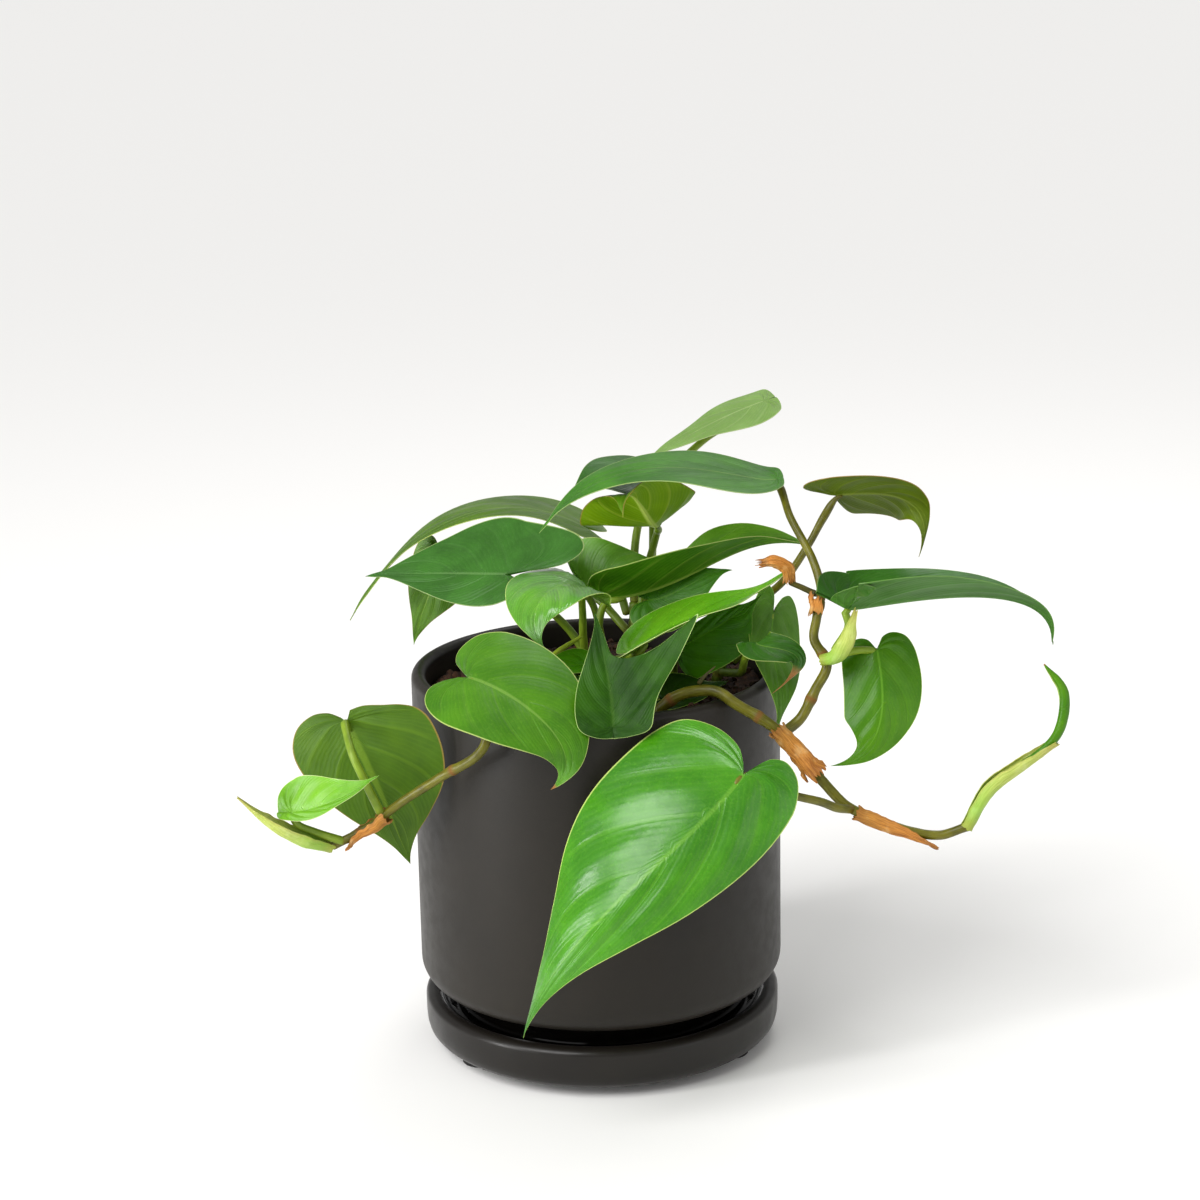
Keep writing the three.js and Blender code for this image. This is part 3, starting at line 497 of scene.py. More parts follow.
def onCircle(centre, a, b, radius, angle):
    return centre + a * (radius * math.cos(angle)) + b * (radius * math.sin(angle))


# Rounded ends of a tube: how deep each ring lies in it and how wide it is, as shares of the radius.
tubeEnd = [(0, 0.55), (0.175, 0.8), (0.375, 0.97)]


def tubeMesh(path, radiusAt, sides, scarAt, lumps=0.0):
    # closed tube with rounded ends: its vertices, its faces and an attribute table
    frames = turnFrames(path)
    last = len(path) - 1
    rings, length = [], 0.0
    for i, point in enumerate(path):
        length += (point - path[i - 1]).length if i else 0
        share, radius = i / last, radiusAt(i / last)
        if 0 < i < last:
            rings.append((point, frames[i], radius, length, share))
        else:
            way = 1 if i == 0 else -1
            rings += [(point + frames[i][0] * (radius * deep * way), frames[i], radius * wide, length, share)
                      for deep, wide in tubeEnd[::way]]
    vertices, faces, table = [], [], {"run": [], "turn": [], "scar": []}
    for point, (_, a, b), radius, at, share in rings:
        for k in range(sides):
            angle = 2 * math.pi * k / sides
            bulge = noise.noise(Vector((at * 0.35, math.cos(angle) * 1.3, math.sin(angle) * 1.3))) if lumps else 0
            vertices.append(onCircle(point, a, b, radius + lumps * bulge, angle))
            table["run"].append(at)
            table["turn"].append(abs(k / sides - 0.5) * 2)
            table["scar"].append(scarAt(share))
    for i in range(len(rings) - 1):
        for k in range(sides):
            n = (k + 1) % sides
            faces.append((i * sides + k, i * sides + n, (i + 1) * sides + n, (i + 1) * sides + k))
    faces.append(tuple(reversed(range(sides))))
    faces.append(tuple((len(rings) - 1) * sides + k for k in range(sides)))
    return vertices, faces, table


def shellFaces(last, columns):
    # two layers of rows with a wall round their edge: faces, and 1 for those of the second layer
    size = (last + 1) * (columns + 1)

    def at(layer, i, k):
        return layer * size + i * (columns + 1) + k

    faces, kinds = [], []
    for i in range(last):
        for k in range(columns):
            faces.append((at(0, i, k), at(0, i, k + 1), at(0, i + 1, k + 1), at(0, i + 1, k)))
            faces.append((at(1, i, k), at(1, i + 1, k), at(1, i + 1, k + 1), at(1, i, k + 1)))
            kinds += [0, 1]
        faces.append((at(0, i, 0), at(0, i + 1, 0), at(1, i + 1, 0), at(1, i, 0)))
        faces.append((at(0, i, columns), at(1, i, columns), at(1, i + 1, columns), at(0, i + 1, columns)))
        kinds += [0, 0]
    for k in range(columns):
        faces.append((at(0, 0, k), at(1, 0, k), at(1, 0, k + 1), at(0, 0, k + 1)))
        faces.append((at(0, last, k), at(0, last, k + 1), at(1, last, k + 1), at(1, last, k)))
        kinds += [0, 0]
    return faces, kinds


# Leaves, as the part's source places them. Midrib: the joint, two points at thirds of the way and
# the tip. Face: where the upper face looks. Half: widths left and right of the midrib. Fold lifts a
# half, tipFold does so towards the tip, and curl bends its edge. Lobes: how long they are behind the
# joint. Petiole: its points from the stem on.
leafDefaults = {
    "stalk": "fresh", "slot": "leaf", "fold": [0, 0], "tipFold": [0, 0], "curl": [0, 0], "lobes": [1, 1],
    "outlines": ["heart", "heart"], "wave": 0.35, "sink": veins["sink"], "dryFrom": 1,
}
leaves = [
    {"name": "leaf_front_hanging", "look": "bright", "stalk": "vine", "slot": "bright_leaf",
     "face": [-0.2, -0.9, 0.35],
     "midrib": [[46.3, -81, 117.3], [20.7, -97, 95.8], [-7.8, -103, 69.3], [-25.5, -92, 33.8]],
     "half": [35.5, 21], "fold": [0, -5], "tipFold": [-60, 0], "curl": [-25, -20], "lobes": [0.4, 0.5],
     "outlines": ["fullHeart", "heart"], "sink": 0.5,
     "petiole": [[82, -61.2, 98.2], [77.5, -65, 100], [72, -69, 103.5], [61, -75, 108.5]]},
    {"name": "leaf_front_left", "look": "mid", "face": [0.1, -0.6, 0.8],
     "midrib": [[-41, -53, 143], [-24, -63, 137], [-11, -72, 125], [-15, -73, 111]], "half": [21, 25],
     "fold": [5, 0], "curl": [-10, -10], "dryFrom": 0.93, "petiole": [[-30.5, -40, 137.7], [-35, -46, 141]]},
    {"name": "leaf_left_low", "look": "old", "slot": "olive_leaf", "face": [0, 0.9, 0.4],
     "midrib": [[-82.8, -36, 123.5], [-75.7, -38, 107.4], [-68.7, -38, 89.2], [-63.6, -36, 73.1]],
     "half": [28, 24], "fold": [-10, 0], "curl": [10, 10], "lobes": [1, 0.6], "outlines": ["shoulder", "heart"],
     "petiole": [[-72, -50, 97], [-76, -53, 108], [-80, -51, 117]]},
    {"name": "leaf_left_young", "look": "young", "slot": "bright_leaf", "face": [0.1, -0.75, 0.65],
     "midrib": [[-100, -56, 99.5], [-91, -57, 101.5], [-81, -58, 106], [-71, -58, 112]], "half": [4, 12],
     "fold": [10, 0], "lobes": [0.8, 0.8], "outlines": ["closedHeart", "closedHeart"],
     "petiole": [[-85, -50.3, 87], [-93, -53, 91], [-99, -55, 95]]},
    {"name": "leaf_centre_glossy", "look": "glossy", "slot": "bright_leaf", "face": [-0.1, -0.3, 0.9],
     "midrib": [[-3.6, -12, 161.7], [-13, -20, 164], [-19.5, -30, 158], [-16, -37, 147]], "half": [22, 20],
     "fold": [0, 12], "curl": [-20, 0], "lobes": [1, 0.7], "outlines": ["heart", "fullHeart"], "sink": 0.5,
     "petiole": [[-3.4, 3, 131], [-4, -2, 142], [-4, -8, 153]]},
    {"name": "leaf_left_broad", "look": "deep", "face": [-0.3, -0.5, 0.81],
     "midrib": [[-30.5, 1.5, 163.7], [-46.3, 9, 162.4], [-62.4, 16, 161], [-80, 22, 159]], "half": [26, 13.5],
     "curl": [0, -10], "lobes": [2.3, 0.7], "petiole": [[-2.6, 6.4, 132], [-9, 8, 142], [-20, 4, 154]]},
    {"name": "leaf_left_arched", "look": "yellowed", "slot": "olive_leaf", "face": [0, 0, 1],
     "midrib": [[-4, 38, 172], [-32, 38, 179], [-61, 35, 169.5], [-87, 30, 141]], "half": [22, 11],
     "curl": [0, -10], "lobes": [0.5, 0.5], "petiole": [[11.2, 22.4, 144], [8, 28, 154], [3, 34, 165]]},
    {"name": "leaf_left_back", "look": "old", "face": [-0.2, -0.7, 0.5],
     "midrib": [[-55, 44, 160], [-58, 42, 150], [-62, 39, 140], [-65, 35, 130]], "half": [11, 13],
     "curl": [-10, -10], "petiole": [[11.1, 21.1, 138], [0, 30, 148], [-20, 41, 156], [-40, 45, 161]]},
    {"name": "leaf_top_pale", "look": "pale", "slot": "pale_leaf", "face": [-0.42, -0.25, 0.87],
     "midrib": [[61, 45, 214], [48, 42, 209.5], [33, 38, 203], [17, 34, 194.5]], "half": [14, 14],
     "curl": [-10, -10], "lobes": [0.5, 0.5], "outlines": ["closedHeart", "closedHeart"],
     "petiole": [[14, 20, 149], [14, 23, 158], [18, 34, 178], [40, 47, 200]]},
    {"name": "leaf_top_long", "look": "long", "stalk": "vine", "face": [0, 0, 1],
     "midrib": [[62, -8, 197], [42, -8, 200], [12, -10, 201], [-18, -16, 182]], "half": [20, 18],
     "fold": [6, -3], "curl": [0, -8], "lobes": [0.25, 0.25], "outlines": ["lens", "lens"],
     "petiole": [[74.6, -35.8, 162.5], [74.7, -34.6, 166], [72.5, -29, 174], [66, -18, 186]]},
    {"name": "leaf_top_back", "look": "deep", "face": [0, -0.35, 0.9],
     "midrib": [[20, 14, 193], [10, 10, 196], [0, 5, 195], [-8, 0, 189]], "half": [16, 14], "curl": [-10, -10],
     "petiole": [[17.2, 21.6, 146], [20, 25, 156], [21, 25, 176]]},
    {"name": "leaf_middle_cup", "look": "olive", "slot": "olive_leaf", "face": [0, 0.65, 0.75],
     "midrib": [[22, 6, 178.5], [18, -4, 185.5], [13, -14, 194], [10, -26, 189]], "half": [26, 18],
     "fold": [10, 30], "lobes": [0.5, 0.5],
     "petiole": [[16.5, 17.4, 146], [17.5, 18.5, 156], [21, 20, 168], [22.5, 17, 174.5]]},
    {"name": "leaf_centre_long", "look": "back", "face": [0, 0, 1],
     "midrib": [[4, 4, 154], [30, 6, 160], [51, 8, 169], [74, 10, 170]], "half": [18, 11], "fold": [50, 60],
     "lobes": [0.4, 1], "outlines": ["heart", "lateHeart"], "petiole": [[0, 4, 134.9], [1.2, 4.5, 143]]},
    {"name": "leaf_centre_back", "look": "back", "face": [0, -0.8, 0.6],
     "midrib": [[-3.4, 12, 156.3], [5, 12.5, 160], [13.5, 13, 163], [22, 14, 165]], "half": [3, 17],
     "curl": [0, -10], "lobes": [0.3, 0.3], "petiole": [[4, 15, 118], [3, 14.5, 132], [0, 13, 148]]},
    {"name": "leaf_middle_shaded", "look": "shaded", "face": [0, -0.85, 0.5],
     "midrib": [[19, 8, 152], [28, 8, 154.5], [38, 8, 159.5], [48, 8, 162]], "half": [12.5, 9],
     "petiole": [[13.4, 17.1, 134], [14.5, 12, 144]]},
    {"name": "leaf_right_low", "look": "lime", "slot": "bright_leaf", "face": [0, 0, 1],
     "midrib": [[13, -24, 143], [32, -23, 153], [50, -20, 159], [67, -16, 169]], "half": [18, 18],
     "fold": [15, 10], "lobes": [0.5, 0.5], "outlines": ["fullHeart", "heart"],
     "petiole": [[2.1, 2.2, 130], [5, -6, 134], [9, -16, 138]]},
    {"name": "leaf_right_round", "look": "shaded", "slot": "olive_leaf", "face": [0, -0.88, 0.47],
     "midrib": [[28.2, -14, 140.5], [38.5, -15.5, 146.5], [48.5, -16, 153], [57.5, -15, 160]], "half":
                                                                                                        [12.5, 5],
     "curl": [-20, 0], "lobes": [0.3, 0.3], "outlines": ["broadHeart", "broadHeart"],
     "petiole": [[27, 2, 118], [27, 0, 130], [27.5, -6, 137]]},
    {"name": "leaf_front_upright", "look": "dull", "face": [0, -0.9, 0.3],
     "midrib": [[5.4, -66.5, 129.5], [4.5, -60, 140], [2.5, -53, 151], [0.3, -45, 162]], "half": [33, 12],
     "fold": [10, 5], "lobes": [0.5, 0.5], "outlines": ["winged", "closedHeart"],
     "petiole": [[6, -44, 118], [6, -49, 127], [6, -56, 131], [5.8, -62, 130]]},
    {"name": "leaf_right_back", "look": "dim", "face": [0.5, -0.85, 0.2],
     "midrib": [[61, -8, 150.5], [60, -21, 138.5], [61.5, -30, 129], [59, -36.5, 116]], "half": [9, 13],
     "curl": [-10, -10], "petiole": [[48, 0.6, 132], [56, 2, 140], [61, 0, 147.5]]},
    {"name": "leaf_right_folded", "look": "folded", "face": [0, -0.5, 0.8],
     "midrib": [[53.5, -33, 147.2], [59.8, -36, 146], [67, -38, 142.6], [58.1, -41, 132]], "half": [7, 7],
     "lobes": [0.1, 0.1], "dryFrom": 0.6,
     "petiole": [[44, 2.2, 127], [47.5, -4, 128.5], [49.5, -15, 132], [50.5, -25, 140]]},
    {"name": "leaf_right_heart", "look": "ripe", "slot": "bright_leaf", "face": [0.25, -0.9, 0.3],
     "midrib": [[93, -38, 145], [94, -46, 131], [90, -52, 118], [76, -52, 110]], "half": [12.5, 15.5],
     "fold": [-20, -5], "curl": [-10, -10], "lobes": [0.6, 0.7], "outlines": ["broadHeart", "heart"],
     "petiole": [[78, -41, 144], [85, -41, 146]]},
    {"name": "leaf_right_top", "look": "bronze", "stalk": "vine", "slot": "olive_leaf", "face": [0, 0.65, 0.76],
     "midrib": [[82, -14, 193], [94, -18, 194], [107, -22, 190], [108, -24, 173]], "half": [12, 16],
     "lobes": [1.5, 0.3], "outlines": ["broadHeart", "broadHeart"], "wave": 0.12,
     "petiole": [[46.5, 6.1, 130], [51, 9, 142], [58, 4, 152], [65.5, -4, 161.7], [73.2, -10, 175.6],
                 [77.3, -12, 184]]},
    {"name": "leaf_right_long", "look": "seaGreen", "face": [0, 0, 1],
     "midrib": [[83, -42, 161], [102, -42, 163], [134, -42, 163], [150, -42, 147]], "half": [30, 20],
     "fold": [30, 22], "lobes": [0.5, 0.9], "outlines": ["closedHeart", "closedHeart"],
     "petiole": [[79, -42, 147], [83, -43, 155]]},
    {"name": "leaf_pot_shaded", "look": "dusk", "face": [0, -0.6, 0.8],
     "midrib": [[23, -27, 126.8], [30, -25, 127.3], [38, -22, 128.3], [45, -18, 130]], "half": [5, 10.5],
     "petiole": [[20, -18, 118], [20.2, -20.5, 124.6]]},
    {"name": "leaf_pot_small", "look": "shaded", "face": [0, -0.4, 0.9],
     "midrib": [[-4, -22, 137], [-9, -24, 138], [-17, -28, 136], [-22, -30, 131.5]], "half": [7, 7],
     "fold": [10, 10], "petiole": [[-3, -12, 118], [-3, -14, 127], [-3, -18, 133.5]]},
]

# Outline of one half leaf: along the midrib from the joint (0) to the tip (1), and out from it.
outlines = {
    "heart": [(-0.07, 0.06), (-0.17, 0.2), (-0.215, 0.45), (-0.16, 0.75), (0, 0.95), (0.18, 1), (0.38, 0.87),
              (0.56, 0.6), (0.72, 0.32), (0.85, 0.13), (0.94, 0.045), (1, 0)],
    "broadHeart": [(-0.07, 0.06), (-0.17, 0.2), (-0.2, 0.45), (-0.14, 0.75), (0, 0.95), (0.2, 1), (0.42, 1),
                   (0.58, 0.9), (0.68, 0.6), (0.77, 0.25), (0.88, 0.07), (1, 0)],
    "fullHeart": [(-0.07, 0.06), (-0.17, 0.2), (-0.215, 0.45), (-0.16, 0.75), (0, 0.93), (0.18, 1),
                  (0.36, 0.98), (0.52, 0.82), (0.66, 0.52), (0.78, 0.23), (0.9, 0.06), (1, 0)],
    "lateHeart": [(-0.05, 0.06), (-0.1, 0.14), (-0.1, 0.22), (-0.05, 0.27), (0.1, 0.3), (0.25, 0.38),
                  (0.42, 0.78), (0.56, 1), (0.7, 0.86), (0.83, 0.5), (0.93, 0.2), (1, 0)],
    "winged": [(-0.19, 0), (-0.19, 0.15), (-0.1, 0.35), (0.21, 0.46), (0.5, 0.76), (0.76, 1), (0.71, 0.84),
               (0.6, 0.58), (0.545, 0.3), (0.59, 0.1), (0.8, 0.045), (1, 0)],
    "closedHeart": [(-0.19, 0), (-0.2, 0.22), (-0.19, 0.48), (-0.13, 0.76), (0, 0.95), (0.18, 1), (0.38, 0.87),
                    (0.56, 0.6), (0.72, 0.32), (0.85, 0.13), (0.94, 0.045), (1, 0)],
    "shoulder": [(-0.06, 0.12), (-0.05, 0.3), (0, 0.55), (0.04, 0.76), (0.1, 0.92), (0.2, 1), (0.36, 0.98),
                 (0.52, 0.82), (0.66, 0.52), (0.78, 0.23), (0.9, 0.06), (1, 0)],
    "lens": [(-0.12, 0), (-0.12, 0.25), (-0.07, 0.5), (0.05, 0.74), (0.2, 0.93), (0.38, 1), (0.56, 0.85),
             (0.72, 0.56), (0.85, 0.28), (0.94, 0.1), (0.98, 0.03), (1, 0)],
}

blade = {
    "rays": 60, "rings": 14, "ringEase": 0.9, "fan": 0.32, "thickness": 0.45, "edgeThin": 0.5,
    "ribDepth": 0.7, "ribWidth": 0.9, "ribTaper": 0.8, "grooveDepth": 0.25, "grooveWidth": 0.7,
    "sideShift": 0.04, "ripples": 3.75, "phaseStep": 1.7, "probe": 0.012,
}
petiole = {
    "radius": 1.25, "sides": 14, "step": 1.2, "into": 1.1, "taper": 0.25, "swell": 0.16, "swellAt": 0.88,
    "swellWidth": 0.06, "endFrom": 0.93, "endSlope": 8, "endWidth": 0.35, "scarLength": 16, "scarShow": 0.6,
    "belowJoint": 1.6, "belowMidrib": 1.1, "underMidrib": 0.07,
}


def outlinePoint(outline, u):
    # uniform spline through the outline's points
    last = len(outline) - 1
    i = min(int(u * last), last - 1)
    p0, p1, p2, p3 = [Vector(outline[min(max(k, 0), last)]) for k in (i - 1, i, i + 1, i + 2)]
    return splinePoint(p1, p2, (p2 - p0) / 2, (p3 - p1) / 2, u * last - i)


def leafMap(leaf):
    # maps the flat leaf into space, along the bent midrib, with each half folded and curled
    a, b, c, d = [Vector(p) for p in leaf["midrib"]]
    first = (a * -5 + b * 18 - c * 9 + d * 2) / 6
    second = (a * 2 - b * 9 + c * 18 - d * 5) / 6
    length = (d - a).length
    face = Vector(leaf["face"]).normalized()

    def frameAt(t):
        end = min(t, 0.999)
        slope = (first - a) * (3 * (1 - end) ** 2)
        slope = slope + (second - first) * (6 * end * (1 - end)) + (d - second) * (3 * end * end)
        tangent = slope.normalized()
        sideways = tangent.cross(face).normalized()
        return tangent, sideways, sideways.cross(tangent).normalized()

    def place(along, side, across):
        t = max(0.0, along)
        tangent, sideways, normal = frameAt(t)
        point = a * (1 - t) ** 3 + first * (3 * t * (1 - t) ** 2) + second * (3 * t * t * (1 - t)) + d * t ** 3
        part = 0 if side > 0 else 1
        if along < 0:
            point = point + tangent * (along * length * leaf["lobes"][part])
        lean = math.radians(leaf["fold"][part] + leaf["tipFold"][part] * t * t + leaf["curl"][part] * across / 2)
        reach = across * leaf["half"][part]
        return point + sideways * (side * reach * math.cos(lean)) + normal * (reach * math.sin(lean))

    return place, frameAt


def bladeNormal(place, point, along, side, across):
    small = blade["probe"]
    onMidrib = across < 1e-5
    half = 1 if onMidrib else side
    alongStep = place(along + small, half, across) - place(along - small, half, across)
    if onMidrib:
        acrossStep = (place(along, 1, small) - point) - (place(along, -1, small) - point)
    else:
        acrossStep = (place(along, side, across + small) - place(along, side, across - small)) * side
    return acrossStep.cross(alongStep).normalized()


def makeBlade(leaf, index, place):
    # both halves: vertices in pairs of upper and lower, faces, their materials, attribute table
    rays, rings, fan = blade["rays"], blade["rings"], blade["fan"]
    vertices, faces, kinds, table = [], [], [], {"ray": [], "rim": [], "dry": []}
    dryFrom = leaf["dryFrom"]
    for part, side in enumerate((1, -1)):
        shift = part * blade["sideShift"]
        outline = outlines[leaf["outlines"][part]]
        base = len(vertices)
        for i in range(rays + 1):
            u = i / rays
            edge = outlinePoint(outline, u)
            inner = max(0.0, (u - fan) / (1 - fan))
            for j in range(rings + 1):
                v = (j / rings) ** blade["ringEase"]
                along, across = inner + (edge.x - inner) * v, edge.y * v
                point = place(along, side, across)
                normal = bladeNormal(place, point, along, side, across)
                course = (u + shift - veins["forward"] * v) * veins["main"] * 2 * math.pi
                quilt = -math.cos(course) * leaf["sink"] * math.sin(math.pi * min(1, v * 1.15)) ** 0.8
                ripple = math.sin(2 * math.pi * blade["ripples"] * u + index * blade["phaseStep"] + side)
                ripple *= leaf["wave"] * v ** 3 * min(1, 6 * (1 - u))
                away = across * leaf["half"][part]
                rib = blade["ribDepth"] * math.exp(-(away / blade["ribWidth"]) ** 2)
                rib *= 1 - blade["ribTaper"] * max(0.0, along)
                groove = blade["grooveDepth"] * math.exp(-(away / blade["grooveWidth"]) ** 2)
                lift = quilt * min(1, across * 4) + ripple
                thick = blade["thickness"] / 2 * (1 - blade["edgeThin"] * v ** 6)
                vertices += [point + normal * (lift - groove + thick), point + normal * (lift - rib - thick)]
                table["ray"] += [u + shift] * 2
                table["rim"] += [v] * 2
                table["dry"] += [max(0.0, along - dryFrom) / (1 - dryFrom) if dryFrom < 1 else 0.0] * 2

        def at(i, j, low):
            return base + 2 * (i * (rings + 1) + j) + low

        def put(corners, kind, turned):
            faces.append(tuple(reversed(corners)) if turned else corners)
            kinds.append(kind)

        flip = side > 0
        for i in range(rays):
            for j in range(rings):
                for low in (0, 1):
                    corners = (at(i, j, low), at(i + 1, j, low), at(i + 1, j + 1, low), at(i, j + 1, low))
                    put(corners, low, flip != bool(low))
            put((at(i, rings, 0), at(i + 1, rings, 0), at(i + 1, rings, 1), at(i, rings, 1)), 0, flip)
        for j in range(rings if outline[0][1] else 0):  # a closed heart has no wall in its notch
            put((at(0, j, 0), at(0, j + 1, 0), at(0, j + 1, 1), at(0, j, 1)), 0, flip)
    return vertices, faces, kinds, table


def makePetiole(leaf, place, normal):
    # out of the stem, up to the joint from below and a little way under the midrib
    joint = Vector(leaf["midrib"][0]) - normal * petiole["belowJoint"]
    under = place(petiole["underMidrib"], 1, 0) - normal * petiole["belowMidrib"]
    path = evenPath([*leaf["petiole"], joint, under], petiole["step"], (petiole["into"], 0))[0]

    def radiusAt(t):
        swell = petiole["swell"] * math.exp(-((t - petiole["swellAt"]) / petiole["swellWidth"]) ** 2)
        end = 1 - max(0, t - petiole["endFrom"]) * petiole["endSlope"]
        return petiole["radius"] * (1.2 - petiole["taper"] * t + swell) * max(petiole["endWidth"], end)

    def scarAt(t):
        return max(0.0, 1 - t * petiole["scarLength"]) * petiole["scarShow"]

    return tubeMesh(path, radiusAt, petiole["sides"], scarAt)


def makeLeaf(leaf, index, materials):
    place, frameAt = leafMap(leaf)
    vertices, faces, kinds, table = makeBlade(leaf, index, place)
    stalkVertices, stalkFaces, stalkTable = makePetiole(leaf, place, frameAt(0)[2])
    base = len(vertices)
    for key, values in stalkTable.items():
        table[key] = [0.0] * base + values
    for key in ("ray", "rim", "dry"):
        table[key] += [0.0] * len(stalkVertices)
    faces += [tuple(base + k for k in face) for face in stalkFaces]
    kinds += [2] * len(stalkFaces)
    piece = newPiece(leaf["name"], vertices + stalkVertices, faces, materials, leaf["slot"], kinds, table)
    cleanPiece(piece, smoothAngle, outwards=False)


# Stems: each a curve through the same points as in the part's source. Nodes: where along it the
# joints swell and scar, as shares of its length.
stems = [
    {"name": "vine_left", "look": "vine", "radii": [1.7, 1.6, 1.4], "nodes": [0.36, 0.62, 0.92],
     "points": [[-22, -20, 106], [-24, -24, 124], [-29, -40, 134.5], [-33, -54, 134.5], [-37, -61, 121],
                [-51, -55, 110], [-66, -50, 99], [-75, -50, 92], [-88, -50, 85]]},
    {"name": "vine_front", "look": "vine", "radii": [1.9, 1.9, 1.8, 1.6, 1.5], "into": (0.5, 2.6),
     "nodes": [0.2, 0.42, 0.57, 0.78],
     "points": [[16, -42, 106], [18, -44, 124], [26, -45, 132.5], [34, -45, 134.6], [40, -46.5, 134.4],
                [46, -49, 130.8], [53, -51, 127], [59, -53, 123], [66, -54, 115], [73, -57, 107], [81, -60, 99],
                [92, -62, 94], [102, -64, 91], [111, -65, 90], [119, -65, 92.5]]},
    {"name": "vine_right", "look": "vine", "radii": [1.8, 1.7, 1.6, 1.5], "nodes": [0.3, 0.62, 0.95],
     "points": [[61.4, -49.7, 121.1], [67, -47, 125], [72, -45, 134], [76, -43, 142], [72, -40, 150],
                [73, -38, 156], [74.5, -36, 162]]},
    {"name": "vine_right_tip", "look": "dark", "radii": [1.1, 1, 0.9],
     "points": [[73, -33, 163.5], [69, -26, 164], [66, -20, 164]]},
    {"name": "stem_centre", "look": "fresh", "radii": [1.9, 1.7], "nodes": [0.6],
     "points": [[2, 6, 106], [1, 5, 124], [0, 4, 134]]},
    {"name": "stem_back", "look": "fresh", "radii": [2, 1.8], "nodes": [0.45, 0.8],
     "points": [[14, 22, 106], [14, 21, 124], [14, 20, 148]]},
    {"name": "stem_right", "look": "fresh", "radii": [1.8, 1.6], "nodes": [0.6],
     "points": [[40, 6, 106], [42, 5, 124], [48, 2, 138]]},
    {"name": "shoot_young", "look": "shoot", "radii": [1.4, 1.4, 0.6],
     "points": [[-17, -19, 112], [-17, -18, 130], [-14.5, -15, 138.3], [-4.6, -9, 144]]},
    {"name": "sheath_spike", "look": "dark", "slot": "dry_sheath", "radii": [0.8, 0.2],
     "points": [[34, -45, 137.3], [36, -45, 139.8], [39, -44, 142.2]]},
]

stemSkin = {"step": 0.9, "sides": 20, "lumps": 0.08, "nodeWidth": 1.6, "nodeSwell": 0.18, "scarWidth": 0.6}


def makeStem(stem, material):
    path, length = evenPath(stem["points"], stemSkin["step"], stem.get("into", (0.5, 0.5)))
    wide = stemSkin["nodeWidth"] / length

    def nearNode(t, width):
        return sum(math.exp(-((t - n) / width) ** 2) for n in stem.get("nodes", []))

    def radiusAt(t):
        return blendValues(stem["radii"], t) * (1 + stemSkin["nodeSwell"] * nearNode(t, wide))

    def scarAt(t):
        return min(1.0, nearNode(t, stemSkin["scarWidth"] * wide))

    vertices, faces, table = tubeMesh(path, radiusAt, stemSkin["sides"], scarAt, stemSkin["lumps"])
    piece = newPiece(stem["name"], vertices, faces, [material], stem.get("slot", "stem"), attributes=table)
    cleanPiece(piece, smoothAngle, merge=False, outwards=False)


# The new leaf at the end of the long vine is still rolled up: a thin blade wound round a curve.
rolledLeaf = {
    "name": "leaf_rolled_tip", "slot": "bright_leaf", "turns": 1.7, "gap": 0.42, "thickness": 0.3, "slant": 2.6,
    "radii": [0.9, 1.3, 1.6, 1.9, 2, 1.9, 1.4, 0.3], "columns": 56, "step": 0.5, "into": (1.2, 0.6),
    "fullRadius": 1.2, "least": 0.04, "dent": 0.06, "dryFrom": 0.97, "dryLength": 0.04,
    "points": [[138, -63, 113.6], [144.5, -62.4, 118], [148.6, -61.8, 122.5], [151, -60, 130], [150.5, -59, 137],
               [145, -58, 144.5]],
}


def makeRolledLeaf(roll, materials):
    path, length = evenPath(roll["points"], roll["step"], roll["into"])
    last, columns = len(path) - 1, roll["columns"]
    vertices, table = [], {"ray": [], "rim": [], "run": [], "turn": [], "dry": []}
    for layer in (0, 1):
        for i, (point, (_, a, b)) in enumerate(zip(path, turnFrames(path))):
            t = i / last
            radius = blendValues(roll["radii"], t)
            shrink = min(1, radius / roll["fullRadius"])
            for k in range(columns + 1):
                s = k / columns
                angle = 2 * math.pi * roll["turns"] * s + roll["slant"] * t  # the free edge winds slowly round
                out = radius - roll["gap"] * shrink * (1 - s) * roll["turns"] - layer * roll["thickness"] * shrink
                out += roll["dent"] * noise.noise(Vector((s * 9, t * 14, 2)))
                vertices.append(onCircle(point, a, b, max(roll["least"], out), angle))
                for key, value in (("ray", 0.1 + t * 0.8), ("rim", s), ("run", t * length), ("turn", s),
                                   ("dry", max(0, (t - roll["dryFrom"]) / roll["dryLength"]))):
                    table[key].append(value)
    faces, kinds = shellFaces(last, columns)
    piece = newPiece(roll["name"], vertices, faces, materials, roll["slot"], kinds, table)
    cleanPiece(piece, smoothAngle)


